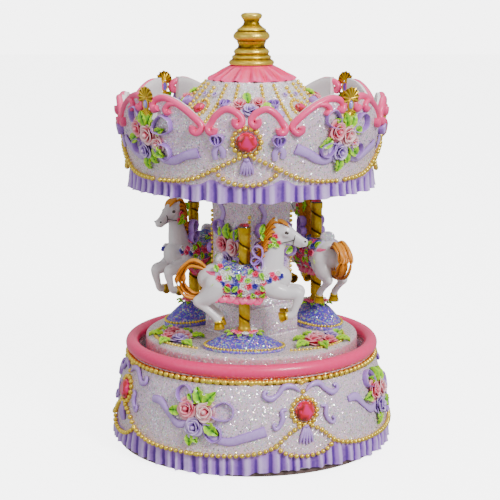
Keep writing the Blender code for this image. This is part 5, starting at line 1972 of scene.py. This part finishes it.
    def lay_hair(self, trim: Trim) -> None:
        """Adds the locks of the mane, the forelock and the tail.

        Args:
            trim: The trim that gathers the ornaments.
        """
        seat = frame_seat(self.place)
        dice = random.Random(10 + self.number)
        for step in range(10):
            share = step / 9
            x, z = 15.6 - 8.6 * share + 1.4 * math.sin(3 * share), 118.2 - 21.0 * share
            for side in (-1.0, 0.0, 1.0):
                sway = dice.uniform(-0.6, 0.6)
                reach = 7.0 - 1.6 * abs(side) - 1.5 * share
                knots = [
                    (x + 1.2, side * 1.2, z - 0.4, 0.6),
                    (x - 0.3 * reach, side * 2.4, z + 0.4 + sway, 1.1),
                    (x - 0.7 * reach, side * 2.7 + sway * 0.4, z - 2.4, 1.0),
                    (x - 0.95 * reach, side * 2.2, z - 5.2 + sway, 0.6),
                    (x - 1.1 * reach - 0.6, side * 1.8, z - 6.2 + sway, 0.15),
                ]
                trim.sweep(MANE_LOCK, path_on(seat, knots, 5))
        for side in (-0.9, 0.0, 0.9):
            knots = [
                (15.0, side, 118.0, 0.7), (17.6, side * 1.3, 118.6, 1.0), (20.2, side * 1.6, 117.4, 0.8),
                (22.2, side * 1.4, 115.4, 0.2),
            ]
            trim.sweep(MANE_LOCK, path_on(seat, knots, 5))
        for lock in range(7):
            side = (lock - 3) / 3
            out = (1.5, -1.3, 0.6, 0.1, -0.9, 1.1, -0.3)[lock] + dice.uniform(-0.2, 0.2)
            aside = side * 2.6
            knots = [
                (-17.5, side * 0.8, 93.4, 0.6),
                (-21.5, aside * 0.7, 96.4 + out, 0.8),
                (-26.4, aside + 0.5, 97.0 + out, 0.85),
                (-30.2 - out, aside - 0.4, 93.2 + out * 0.3, 0.95),
                (-30.8 - out * 1.3, aside, 87.6, 0.95),
                (-27.8 - out, aside * 0.8, 82.8 - out * 0.9, 0.85),
                (-23.4 + out * 0.5, aside * 0.6, 81.2 - out, 0.7),
                (-20.4 + out * 0.6, aside * 0.5, 82.4 - out * 0.6, 0.5),
                (-20.2 + out * 0.9, aside * 0.5, 84.8 - out * 0.4, 0.12),
            ]
            trim.sweep(TAIL_LOCK, path_on(seat, knots, 5))

    def side_point(self, x: float, turn: float, lift: float) -> np.ndarray:
        """A point over the trunk: this far along it, and turned from its top about it by some degrees.

        Args:
            x: How far along the trunk.
            turn: The turn in degrees.
            lift: How far off the trunk.

        Returns:
            The point, about the horse's own origin.
        """
        line = smooth_line(self.trunk, 8)
        middle, radius = np.interp(x, line[:, 0], line[:, 2]), np.interp(x, line[:, 0], line[:, 3]) + lift
        turned = math.radians(turn)
        return np.array([x, -0.86 * radius * math.sin(turned), middle + radius * math.cos(turned)])

    def trunk_spot(self, x: float, turn: float, size: float, spin: float) -> Spot:
        """A spot for an ornament on the trunk.

        Args:
            x: How far along the trunk.
            turn: The turn from its top, in degrees.
            size: The ornament's size.
            spin: The ornament's own turn, in radians.

        Returns:
            The spot.
        """
        here, out = self.side_point(x, turn, 1.0), self.side_point(x, turn, 2.0)
        normal = (out - here) / np.linalg.norm(out - here)
        across = np.cross([1.0, 0.0, 0.0], normal)
        right = math.cos(spin) * np.array([1.0, 0.0, 0.0]) + math.sin(spin) * across
        turned = np.array(self.place)[:3, :3]
        return Spot(turned @ here + np.array(self.place)[:3, 3], turned @ normal, turned @ right, size)

    def lay_blanket(self, trim: Trim) -> None:
        """Adds the blanket, its blossoms and its frill.

        Args:
            trim: The trim that gathers the ornaments.
        """
        rows, columns = 15, 49
        points = []
        for lift in (1.0, -0.6):
            for x in np.linspace(-13.5, 9.5, rows):
                points += [self.side_point(x, turn, lift) for turn in np.linspace(-140, 140, columns)]
        faces = sheet_faces(rows, columns)
        shape = Shape(np.array(points), faces, np.full(len(points), 0.5)).moved(self.place)
        cloth = replace(LAVENDER, name="blanket_lavender", slot="white_resin", body=(206, 196, 226))
        piece(f"horse_{self.number}_blanket", shape, cloth, "carousel", (), 60.0)
        dice = random.Random(20 + self.number)
        finishes = (HOT_PINK, WHITE_PETAL, BLUE_PETAL, HOT_PINK, WHITE_PETAL, FRILL_PINK)
        for side in (-1, 1):
            for row in range(6):
                for column in range(9):
                    x = -12.6 + 2.6 * column + 1.3 * (row % 2) + dice.uniform(-0.4, 0.4)
                    turn = side * (134 - 19 * row + dice.uniform(-3, 3))
                    size = dice.uniform(3.4, 4.2)
                    if (column + 2 * row) % 4 == 0:
                        trim.set(Ornament.LEAF, LEAF, self.trunk_spot(x, turn, size, dice.uniform(0, 6)))
                    else:
                        kind = dice.choice(finishes)
                        trim.set(Ornament.BLOSSOM, kind, self.trunk_spot(x, turn, size, dice.uniform(0, 6)))
            frill = []
            for step in range(25):
                x = -14.0 + 24.0 * step / 24
                point = self.side_point(
                    x, side * (140 + 2.5 * math.sin(step * 1.3)), 1.6 + 1.3 * math.sin(step * 1.9)
                )
                frill.append((*point, 1.0))
            line = smooth_line(frill, 3)
            moved = frame_seat(self.place)(line[:, :3])
            out = np.array(self.place)[:3, :3] @ np.array([0.0, -side * 0.94, 0.34])
            trim.sweep(SADDLE_FRILL, Path(moved, np.tile(out, (len(moved), 1)), line[:, 3]))

    def strap(self, knots: Sequence[tuple[float, float]]) -> Path:
        """A strap over the trunk through (x, turn) knots.

        Args:
            knots: The knots, with turns in degrees.

        Returns:
            The strap's path.
        """
        line = np.array([self.side_point(x, turn, 0.35) for x, turn in smooth_line(knots, 8)])
        outs = np.array([self.side_point(x, turn, 1.35) for x, turn in smooth_line(knots, 8)]) - line
        turned = np.array(self.place)[:3, :3]
        return Path(frame_seat(self.place)(line), outs @ turned.T, np.ones(len(line)))

    def lay_trappings(self, trim: Trim) -> None:
        """Adds the chest band, the rump strap, the flowers and bow at the neck and the bridle.

        Args:
            trim: The trim that gathers the ornaments.
        """
        dice = random.Random(30 + self.number)
        for side in (-1, 1):
            trim.sweep(STRAP, self.strap([(9.4, side * 97), (13.0, side * 95), (17.2, side * 88)]))
            trim.sweep(STRAP, self.strap([(-13.2, side * 66), (-15.6, side * 58), (-17.6, side * 40)]))
            for step in range(7):
                kind = (HOT_PINK, WHITE_PETAL, BLUE_PETAL, FRILL_PINK)[step % 4]
                across = side * (80 - 2 * step + 7 * (-1) ** step)
                trim.set(
                    Ornament.BLOSSOM, kind,
                    self.trunk_spot(10.0 + 1.35 * step, across, 3.5, dice.uniform(0, 6)),
                )
            flank = Matrix(((side, 0, 0, 0), (0, 0, side, 0), (0, 1, 0, 0), (0, 0, 0, 1)))
            seat = frame_seat(self.place @ flank)
            for x, z, size, finish in (
                (15.2, 111.6, 3.4, HOT_PINK), (13.2, 108.4, 3.2, ROSE_PINK), (17.0, 108.6, 2.8, HOT_PINK)
            ):
                trim.set(
                    Ornament.BLOSSOM, finish, spot_on(seat, side * x, z, 3.1, size, dice.uniform(0, 70))
                )
            for x, z, turn in (
                (13.2, 111.0, 60), (15.2, 106.6, 190), (17.2, 106.4, 230), (12.0, 106.2, 130)
            ):
                trim.set(Ornament.LEAF, LEAF, spot_on(seat, side * x, z, 3.0, 3.4, side * turn))
            nose = [
                (24.8, 113.0, 0.9, 1.0), (24.6, 111.2, 2.2, 1.0), (24.0, 109.0, 1.9, 1.0),
                (23.6, 107.2, 0.9, 1.0),
            ]
            rein = [(24.4, 110.0, 2.2, 1.0), (21.0, 109.0, 2.9, 1.0), (17.6, 108.4, 3.4, 1.0)]
            for line in (nose, rein):
                trim.sweep(
                    BRIDLE, path_on(seat, [(side * x, z, out, girth) for x, z, out, girth in line], 5)
                )
            for x, z, turn in ((9.6, 116.6, 20), (8.6, 112.6, -30)):
                trim.set(Ornament.LEAF, LEAF, spot_on(seat, side * x, z, 1.6, 4.4, -side * turn))
            bow = frame_seat(self.place @ flank @ Matrix.Translation((0, 0, 4.2)))
            for turn, reach in ((115, 6.6), (200, 5.0), (250, 5.6)):
                trim.sweep(
                    LOOP, ribbon_loop(bow, side * 8.6, 101.0, reach, turn if side > 0 else 180 - turn)
                )


# Canopy.


@dataclass
class Canopy:
    """The canopy: scalloped wall with scrolls, frill, swags, bouquets and shells, roof and finial."""

    turn: float = -2.0
    bottom: float = 131.5
    wall: float = 3.0
    jewel_height: float = 160.0
    small_end: float = 16.3
    shell_half: float = 5.3
    side: TurnedSide = TurnedSide(
        (
            (66.2, 184.0), (66.1, 178.0), (66.0, 171.0), (64.8, 162.0), (63.2, 153.0), (61.3, 143.9),
            (60.2, 134.8), (60.0, 131.5),
        )
    )
    dome: TurnedSide = TurnedSide(
        ((21.9, 183.4), (27.3, 177.7), (31.2, 173.7), (40.1, 167.2), (50.2, 162.0), (60.4, 158.6))
    )
    bouquet: Bouquet = Bouquet(
        roses=(
            (ROSE_PINK, -5.2, 3.4, 9.0),
            (ROSE_BLUSH, 1.2, 1.0, 9.4),
            (ROSE_LAVENDER, -2.2, -7.0, 8.4),
            (ROSE_BLUSH, 6.6, -3.4, 6.6),
        ),
        leaves=(
            (0.5, 4.6, 8.0, 18), (1.5, 4.6, 7.5, -30), (-1.5, 5.0, 6.5, 48), (-7.5, 0.0, 7.5, 120),
            (3.6, -4.5, 8.0, -128), (-1.6, -9.5, 7.0, 176), (6.0, 2.0, 6.0, -70), (2.0, -7.5, 6.0, -160),
        ),
        loops=((-4.0, 4.5, 10.0, 128), (4.5, 3.0, 12.0, 24), (4.5, -4.0, 10.0, -28), (-4.5, -3.0, 9.0, 205)),
        tails=(
            (
                (2, -6, 0.6, 0.6), (8, -10.5, 0.9, 1.0), (15, -11.0, 0.6, 1.2), (22, -8.0, 1.0, 1.2),
                (29, -6.2, 0.6, 1.5),
            ),
            (
                (-2, -6, 0.6, 0.6), (-8, -10.5, 0.9, 1.0), (-14, -9.8, 0.6, 1.2), (-20, -6.4, 1.0, 1.3),
                (-26, -4.0, 0.6, 1.5),
            ),
        ),
    )
    bow: Bouquet = Bouquet(
        roses=(), leaves=(), loops=((0, 0, 5.0, 70), (0, 0, 5.0, 110)),
        tails=(
            ((0, 0, 0.6, 0.6), (-1.6, -3.4, 0.8, 0.8), (-1.4, -7.0, 0.6, 0.7)),
            ((0, 0, 0.6, 0.6), (2.4, -3.0, 0.8, 0.8), (2.2, -6.0, 0.6, 0.7)),
        ),
    )
    roof_roses: Bouquet = Bouquet(
        roses=(
            (ROSE_PINK, -4.4, 2.0, 6.4), (ROSE_LAVENDER, 0.6, -1.6, 7.0), (ROSE_PINK, 4.6, 3.0, 6.4),
            (ROSE_BLUSH, -7.4, 0.2, 5.0),
        ),
        leaves=((4.6, -0.6, 6.5, -80), (5.4, 0.0, 6.0, -115), (-0.6, 3.6, 6.0, 10), (-6.0, -2.2, 5.0, 140)),
    )

    def scallop(self, turn: float) -> float:
        """The wall's top edge at an azimuth.

        Args:
            turn: The azimuth in degrees.

        Returns:
            The edge's height.
        """
        angle = abs((turn - self.turn + 45) % 90 - 45)
        if angle > 45 - self.shell_half:
            return self.bottom + 36.7
        if angle <= self.small_end:
            share = angle / self.small_end
            return self.bottom + 35.5 - 3 * share + 10.7 * math.sin(math.pi * share) ** 0.7
        share = (angle - self.small_end) / (45 - self.shell_half - self.small_end)
        return self.bottom + 32.5 + 16.6 * math.sin(math.pi / 2 * min(share, 1.0)) ** 0.7

    def make(self) -> None:
        """Makes and dresses the canopy."""
        self.make_wall()
        trim = Trim("canopy", "carousel")
        for quarter in range(4):
            turn = self.turn + 90 * quarter
            self.dress_jewel(trim, self.side.seat(turn, self.jewel_height))
            self.bouquet.lay(trim, self.side.seat(turn + 43.5, 160.5))
            self.bow.lay(trim, self.side.seat(turn - 12.0, 158.5))
            self.bow.lay(trim, self.side.seat(turn + 13.0, 158.0))
            self.lay_scrolls(trim, turn)
        trim.make([f"canopy_jewel_{k + 1}" for k in range(4)])
        Ruffle(
            "canopy_ruffle", "carousel", self.side, self.frill_top, self.frill_bottom, 62, 0.85, 1.0, 5.0
        ).make()
        self.make_shells()
        self.make_roof()

    def make_wall(self) -> None:
        """Makes the scalloped wall and the ceiling disc inside it."""
        columns, rows = 720, 18
        line = np.array(self.side.outline, float)
        tops = np.array([self.scallop(turn) for turn in np.linspace(0, 360, columns, endpoint=False)])
        layers = [(row / rows, 0.0) for row in range(rows + 1)]
        layers += [(row / rows, -self.wall) for row in reversed(range(rows + 1))]
        shape = self.side.band(tops, self.bottom, layers)
        wall = piece("canopy_wall", shape, PALE_GLITTER, "carousel", ["valance"], 60.0)
        wall.data.materials.append(PLAIN_WHITE.material())
        inside = 1.2
        for polygon in wall.data.polygons:
            x, y, z = polygon.center / MM
            if math.hypot(x, y) < float(np.interp(-z, -line[:, 1], line[:, 0])) - inside:
                polygon.material_index = 1
        ceiling = [(0, 135.2), (56.2, 135.2), (56.4, 134.6), (56.2, 132.2), (55.6, 131.8), (0, 131.8)]
        piece("canopy_ceiling_disc", lathe(ceiling, 128), PLAIN_WHITE, "carousel", ["canopy_ceiling"])

    def frill_top(self, turn: float) -> float:
        """The frill's upper edge: it follows the bead swags."""
        off = abs((turn - self.turn + 45) % 90 - 45)
        return 138.6 + 3.0 * math.exp(-(((off - 15.5) / 4.5) ** 2))

    def frill_bottom(self, turn: float) -> float:
        """The frill's lower edge, a little wavy."""
        return 131.3 - 0.5 * math.cos(math.radians(4 * (turn - self.turn)))

    def dress_jewel(self, trim: Trim, seat: Seat) -> None:
        """Adds one jewel with its beads, swags and tassel.

        Args:
            trim: The trim that gathers the ornaments.
            seat: Where the jewel lies.
        """
        jewel_setting(trim, seat, 9.8, 6.5, 2.6)
        swag = [
            (3.4, -7.4, 1.2), (9, -10.0, 1.2), (16, -13.4, 1.2), (24, -17.4, 1.2), (34, -19.8, 1.2),
            (47.6, -20.6, 1.2),
        ]
        lens = [(15.6, -13.6, 1.2), (12.4, -17.2, 1.4), (6.4, -20.0, 1.6), (0, -20.8, 1.6)]
        for line in (swag, mirrored(swag), lens, mirrored(lens)):
            trim.thread(2.4, 2.75, path_on(seat, line))
        tassel(trim, seat, -8.6, 7.6, 6.0)

    def lay_scrolls(self, trim: Trim, turn: float) -> None:
        """Adds the pink scrolls along one quarter of the wall's top edge.

        Args:
            trim: The trim that gathers them.
            turn: The azimuth of the quarter's jewel.
        """
        seat = self.side.seat(turn, self.jewel_height)
        start = self.side.at(self.jewel_height)
        per_degree = math.radians(1) * 65.1

        def edge(angle: float, drop: float = 1.2) -> Row:
            """A knot on the top edge at this angle from the jewel."""
            return (angle * per_degree, start - self.side.at(self.scallop(turn + angle) - drop), -0.5, 1.0)

        small = [(5.0, 10.8, 0.8, 0.95), (5.2, 8.8, 0.9, 1.0), (3.6, 7.6, 0.8, 1.0), (2.0, 9.2, 0.3, 0.95)]
        small += [edge(angle) for angle in (2.2, 4.2, 8.15, 12.1, 14.4)]
        small += [
            (17.7, 6.6, 0.4, 0.95), (16.9, 4.5, 0.9, 1.0), (14.9, 4.6, 1.0, 1.0), (14.4, 6.4, 0.9, 0.95)
        ]
        large = [
            (25.0, 7.0, 1.0, 0.95), (25.2, 5.0, 1.0, 1.0), (23.2, 3.9, 0.8, 1.0), (21.2, 5.6, 0.2, 0.95)
        ]
        large += [edge(angle) for angle in (18.8, 21.5, 26, 31, 35.5)]
        large += [
            (45.0, 18.2, 0.0, 1.0), (47.0, 15.8, 0.6, 1.0), (45.8, 13.4, 1.0, 1.0), (43.6, 14.4, 1.0, 0.95)
        ]
        hook = [
            (32.5, 16.6, 0.0, 0.6), (37.0, 16.4, 0.6, 0.75), (39.2, 14.2, 0.9, 0.8), (38.0, 12.4, 1.0, 0.8),
            (36.4, 13.2, 0.9, 0.7),
        ]
        for line in (small, large, hook):
            trim.sweep(SCROLL, path_on(seat, line), path_on(seat, mirrored(line)))

    def make_shells(self) -> None:
        """Makes the gilt shell with its oval stone in each notch of the wall."""
        parts, stones = [], []
        for quarter in range(4):
            frame_matrix = upright_frame(self.turn + 45 + 90 * quarter, 66.0, 176.6, -4.0)
            upper = fan(5.6, 118, 9).moved(Matrix.Translation((0, 1.9, 0)))
            below = Matrix.Translation((0, -3.4, 0)) @ Matrix.Rotation(math.pi, 4, "Z")
            lower = fan(4.2, 84, 7).moved(below)
            ring = oval_ring(1.75, 2.5, 0.55).moved(Matrix.Translation((0, -0.9, 1.7)))
            parts += [shape.moved(frame_matrix) for shape in (upper, lower, ring)]
            gem = dome_shape(1.6, 2.3, 1.3).moved(Matrix.Translation((0, -0.9, 1.5)))
            stones.append(gem.moved(frame_matrix))
        nodes = [f"shell_{k + 1}" for k in range(4)]
        piece(
            "canopy_shells", Shape.joined(parts), replace(GILT, name="shell_gilt", relief=Relief.EDGE),
            "carousel", nodes,
        )
        piece("canopy_shell_stones", Shape.joined(stones), VIOLET_STONE, "carousel", (), 60.0)

    def make_roof(self) -> None:
        """Makes the roof with its bead lines, roses, bows and stones, the pleated collar and the finial."""
        under = [(60.3, 154.6), (48.2, 158.2), (38.1, 163.2), (29.2, 169.7), (19.9, 178.6), (0, 179.3)]
        top = rounded(self.dome.outline, 4)
        piece("roof", lathe([(0, 183.4)] + top + under, 160), ROOF_GLITTER, "carousel", ["roof_dome"])
        trim = Trim("roof", "carousel")
        for quarter in range(4):
            turn = self.turn + 90 * quarter
            for angle in (-29, -13.5, 13.5, 29):
                seat = self.dome.seat(turn + angle, 176.0)
                trim.thread(1.9, 2.25, path_on(seat, [(0, 8.0, 0.5), (0, -8, 0.5), (0, -24, 0.5)]))
            self.roof_roses.lay(trim, self.dome.seat(turn, 171.5), 1.1)
            for angle in (-20.5, 20.5):
                self.bow.lay(trim, self.dome.seat(turn + angle, 171.5), 0.95)
                trim.set(
                    Ornament.ROSE, ROSE_LAVENDER,
                    spot_on(self.dome.seat(turn + angle, 166.0), 0, 0, 0.1, 4.6),
                )
            seat = self.dome.seat(turn + 45, 171.2)
            trim.set(Ornament.STONE, PINK_STONE, spot_on(seat, 0, 0, 0.3, 6.4))
            stem = path_on(seat, [(0, 6.2, 0.5), (0, 13.5, 0.5)])
            trim.thread(1.9, 2.25, oval_path(seat, 5.0, 6.4, 0.5, -0.4), stem)
            trim.set(
                Ornament.BLOSSOM, ROSE_LAVENDER, *(spot_on(seat, x, 9.5, 0.1, 3.2) for x in (-4.4, 4.4))
            )
        trim.make()
        self.make_collar()
        swellings = (
            (0, 25.1), (3.6, 25.1), (4.9, 24.7), (5.35, 23.7), (4.9, 22.7), (4.0, 21.6), (3.75, 20.6),
            (4.3, 19.4), (5.6, 18.2), (7.0, 17.3), (7.3, 16.9), (7.1, 16.4), (8.2, 15.6), (9.0, 14.4),
            (9.05, 13.2), (8.2, 12.2), (7.2, 11.5), (7.3, 11.0), (7.0, 10.6), (6.6, 9.4), (6.9, 8.2),
            (8.3, 7.2), (8.9, 6.2), (8.6, 5.4), (8.3, 5.1), (8.6, 4.7), (9.6, 4.0), (9.8, 3.4), (9.5, 2.8),
            (9.9, 2.4), (11.0, 1.6), (11.3, 0.9), (11.0, 0.0), (0, 0),
        )
        profile = []
        for index, (radius, height) in enumerate(swellings):
            near = [swellings[max(index - 1, 0)][0], swellings[min(index + 1, len(swellings) - 1)][0]]
            # Swellings take painted highlight; the necks between them take the gilt's dark hollow colour,
            # antique patina and painted shade.
            rim = min(max(0.55 + 0.8 * (radius - sum(near) / 2), 0.0), 1.0)
            profile.append((radius, 190.9 + height, rim if radius else 0.5))
        gilt = replace(GILT, name="finial_gilt", relief=Relief.EDGE, ragged=0.5)
        piece("finial_turning", lathe(profile, 96), gilt, "carousel", ["finial"], 70.0)

    def make_collar(self) -> None:
        """Makes the pleated pink collar under the finial."""
        columns = 256
        rows = (
            (0, 190.6), (10.6, 190.6), (11.4, 190.2), (14.5, 188.4), (18.0, 186.0), (21.2, 184.2),
            (21.6, 183.5), (20.4, 183.6), (0, 183.6),
        )
        shape = lathe(rows, columns)
        turn = np.arctan2(shape.points[:, 0], shape.points[:, 1])
        radius = np.hypot(shape.points[:, 0], shape.points[:, 1])
        share = np.clip((radius - 11.5) / 9.0, 0, 1)
        wave = np.sin(17 * turn + 1.4 * np.sin(3 * turn)) + 0.4 * np.sin(31 * turn)
        scale = 1 + share * 0.035 * wave
        shape.points[:, :2] *= scale[:, None]
        shape.points[:, 2] += share * 0.55 * wave
        pink = replace(PINK_GLOSS, name="collar_pink")
        piece("pleated_collar", shape, pink, "carousel", ["collar"], 70.0)


def fan(radius: float, spread: float, ribs: int) -> Shape:
    """A scallop fan that opens upwards from the origin, ribbed like a shell.

    Args:
        radius: Its reach.
        spread: Half the angle it opens through, in degrees.
        ribs: How many ribs it has.

    Returns:
        The fan, lying flat with its front up.
    """
    rows, columns = 7, ribs * 6 + 1
    out, across = grid(np.linspace(0.12, 1, rows), np.linspace(-1, 1, columns))
    rib = np.abs(np.sin(across * ribs * math.pi / 2))
    reach = radius * out * (1 - 0.12 * across**2) * (1 - 0.1 * rib * out)
    angle = np.radians(across * spread)
    height = 1.0 + 1.1 * np.sin(out * 2.2) + 0.55 * (1 - rib) * out
    front = np.column_stack([reach * np.sin(angle), reach * np.cos(angle), height])
    # The rim values give the grooves between the ribs the gilt's dark hollow colour, antique patina and
    # painted shade, and highlight to the ribs.
    return thick_sheet(front, rows, columns, 0.9, np.clip(1 - 0.9 * rib * (0.3 + 0.7 * out), 0, 1))


def oval_ring(half_width: float, half_height: float, tube: float) -> Shape:
    """A round-sectioned oval ring that lies flat.

    Args:
        half_width: Half its width.
        half_height: Half its height.
        tube: The radius of its section.

    Returns:
        The ring.
    """
    steps, sides = 28, 8
    turns, around = grid(full_turn(steps), full_turn(sides))
    x = (half_width + tube * np.cos(around)) * np.cos(turns)
    y = (half_height + tube * np.cos(around)) * np.sin(turns)
    faces = grid_faces(steps, sides, True, True)
    return Shape(np.column_stack([x, y, tube * np.sin(around)]), faces, np.full(len(x), 0.7))


def dome_shape(half_width: float, half_height: float, rise: float) -> Shape:
    """A smooth oval cabochon.

    Args:
        half_width: Half its width.
        half_height: Half its height.
        rise: How far it stands up.

    Returns:
        The cabochon.
    """
    # The third values paint highlight on the cabochon's top and shade round its foot.
    rows = [(0, 1, 1.0), (0.3, 0.95, 0.9), (0.6, 0.78, 0.6), (0.85, 0.46, 0.3), (1.0, 0.0, 0.1), (0, 0, 0.1)]
    shape = lathe(rows, 24)
    shape.points *= np.array([half_width, half_height, rise])
    return shape


# Studio.


@dataclass
class Studio:
    """The floor, the soft lights and the camera."""

    lens: float = 107.1
    pitch: float = 11.22
    eye: tuple[float, float, float] = (-0.00075, -0.742, 0.244)
    floor_drop: float = 0.1
    floor_glow: float = 4.6
    backdrop: float = 0.5
    daylight: float = 5.5
    aim_height: float = 0.1

    def make(self) -> None:
        """Sets up the floor, the lights and the camera."""
        bpy.ops.mesh.primitive_plane_add(size=6.0)
        floor = bpy.context.object
        floor.name = "floor"
        floor.location.z = -self.floor_drop * MM
        white = bpy.data.materials.new("floor_white")
        white.use_nodes = True
        board = Board(white.node_tree)
        shader = white.node_tree.nodes["Principled BSDF"]
        shader.inputs["Base Color"].default_value = (0.9, 0.9, 0.9, 1.0)
        shader.inputs["Roughness"].default_value = 0.7
        seen = board.add("ShaderNodeLightPath", out="Is Camera Ray")
        above = board.math("SUBTRACT", 1.0, board.add("ShaderNodeNewGeometry", out="Backfacing"))
        shader.inputs["Emission Color"].default_value = (1.0, 1.0, 1.0, 1.0)
        shader.inputs["Emission Strength"].default_value = self.floor_glow
        clear = board.add("ShaderNodeBsdfTransparent")
        shown = board.math("MULTIPLY", seen, above)
        both = board.add("ShaderNodeMixShader", {0: shown, 1: clear, 2: shader.outputs["BSDF"]})
        white.node_tree.links.new(both, white.node_tree.nodes["Material Output"].inputs["Surface"])
        floor.data.materials.append(white)
        world = bpy.data.worlds.new("studio_world")
        world.use_nodes = True
        bpy.context.scene.world = world
        sky = Board(world.node_tree)
        light = world.node_tree.nodes["Background"]
        seen = sky.add("ShaderNodeLightPath", out="Is Camera Ray")
        light.inputs["Color"].default_value = (1.0, 1.0, 1.0, 1.0)
        world.node_tree.links.new(sky.blend(seen, self.backdrop, self.daylight), light.inputs["Strength"])
        self.lamp("key", (0.6, -0.8, 0.8), 0.35, 15.0)
        self.lamp("fill", (-0.9, -0.7, 0.5), 0.8, 2.4)
        self.lamp("top", (0.0, 0.2, 1.2), 0.8, 6.0)
        camera = bpy.data.cameras.new("camera")
        camera.lens = self.lens
        camera.sensor_width = 36.0
        camera.clip_start = 0.01
        seat = link(bpy.data.objects.new("camera", camera))
        seat.location = self.eye
        seat.rotation_euler = (math.radians(90 - self.pitch), 0.0, 0.0)
        bpy.context.scene.camera = seat

    def lamp(self, name: str, place: tuple[float, float, float], size: float, power: float) -> None:
        """Adds a soft square lamp that faces the object.

        Args:
            name: Its name.
            place: Where it stands, in metres.
            size: Its width.
            power: Its power in watts.
        """
        light = bpy.data.lights.new(name, "AREA")
        light.size = size
        light.energy = power
        obj = link(bpy.data.objects.new(name, light))
        obj.location = place
        aim = Vector((0, 0, self.aim_height)) - Vector(place)
        obj.rotation_euler = aim.to_track_quat("-Z", "Y").to_euler()


# Assembly.


def build_trees() -> None:
    """Builds the shader groups and the geometry node trees once."""
    groups = (shade_highlight_paint_group, grain_group, glitter_group)
    trees = (thread_beads_tree, sweep_moulding_tree, set_on_spots_tree, wind_petals_tree, press_pleats_tree)
    for build in groups + trees:
        build()


def dress_cad_nodes() -> None:
    """Gives every CAD node that still shows its own finish."""
    by_slot = {
        "brown_board": BOARD, "brass": BRASS, "spring_steel": STEEL, "cast_zinc": ZINC, "nylon": NYLON,
        "glitter_resin": PALE_GLITTER, "pink_resin": PINK_GLOSS, "violet_glitter": VIOLET_GLITTER,
        "gilt_resin": GILT, "white_resin": HORSE_WHITE, "acrylic_stone": PINK_STONE,
    }
    slots = {part["node"]: part["material_slot"] for part in frame["record"]["subparts"]}
    for name, node in frame["nodes"].items():
        if node.hide_render:
            continue
        finish = by_slot[slots[name]]
        node.data.materials.clear()
        node.data.materials.append(finish.material())
        log.info("%s keeps its CAD shape in %s", name, finish.name)


def main() -> None:
    """Builds the looks, sub-assembly by sub-assembly."""
    logging.basicConfig(level=logging.INFO, format="%(message)s")
    build_trees()
    Studio().make()
    Base().make()
    Turntable().make()
    for number, lift in enumerate((0.0, 3.4, 2.7), 1):
        Station(number, -5.4 + 120 * (number - 1), lift).make()
    Canopy().make()
    Ornament.clear()
    dress_cad_nodes()


if __name__ == "__main__":
    main()
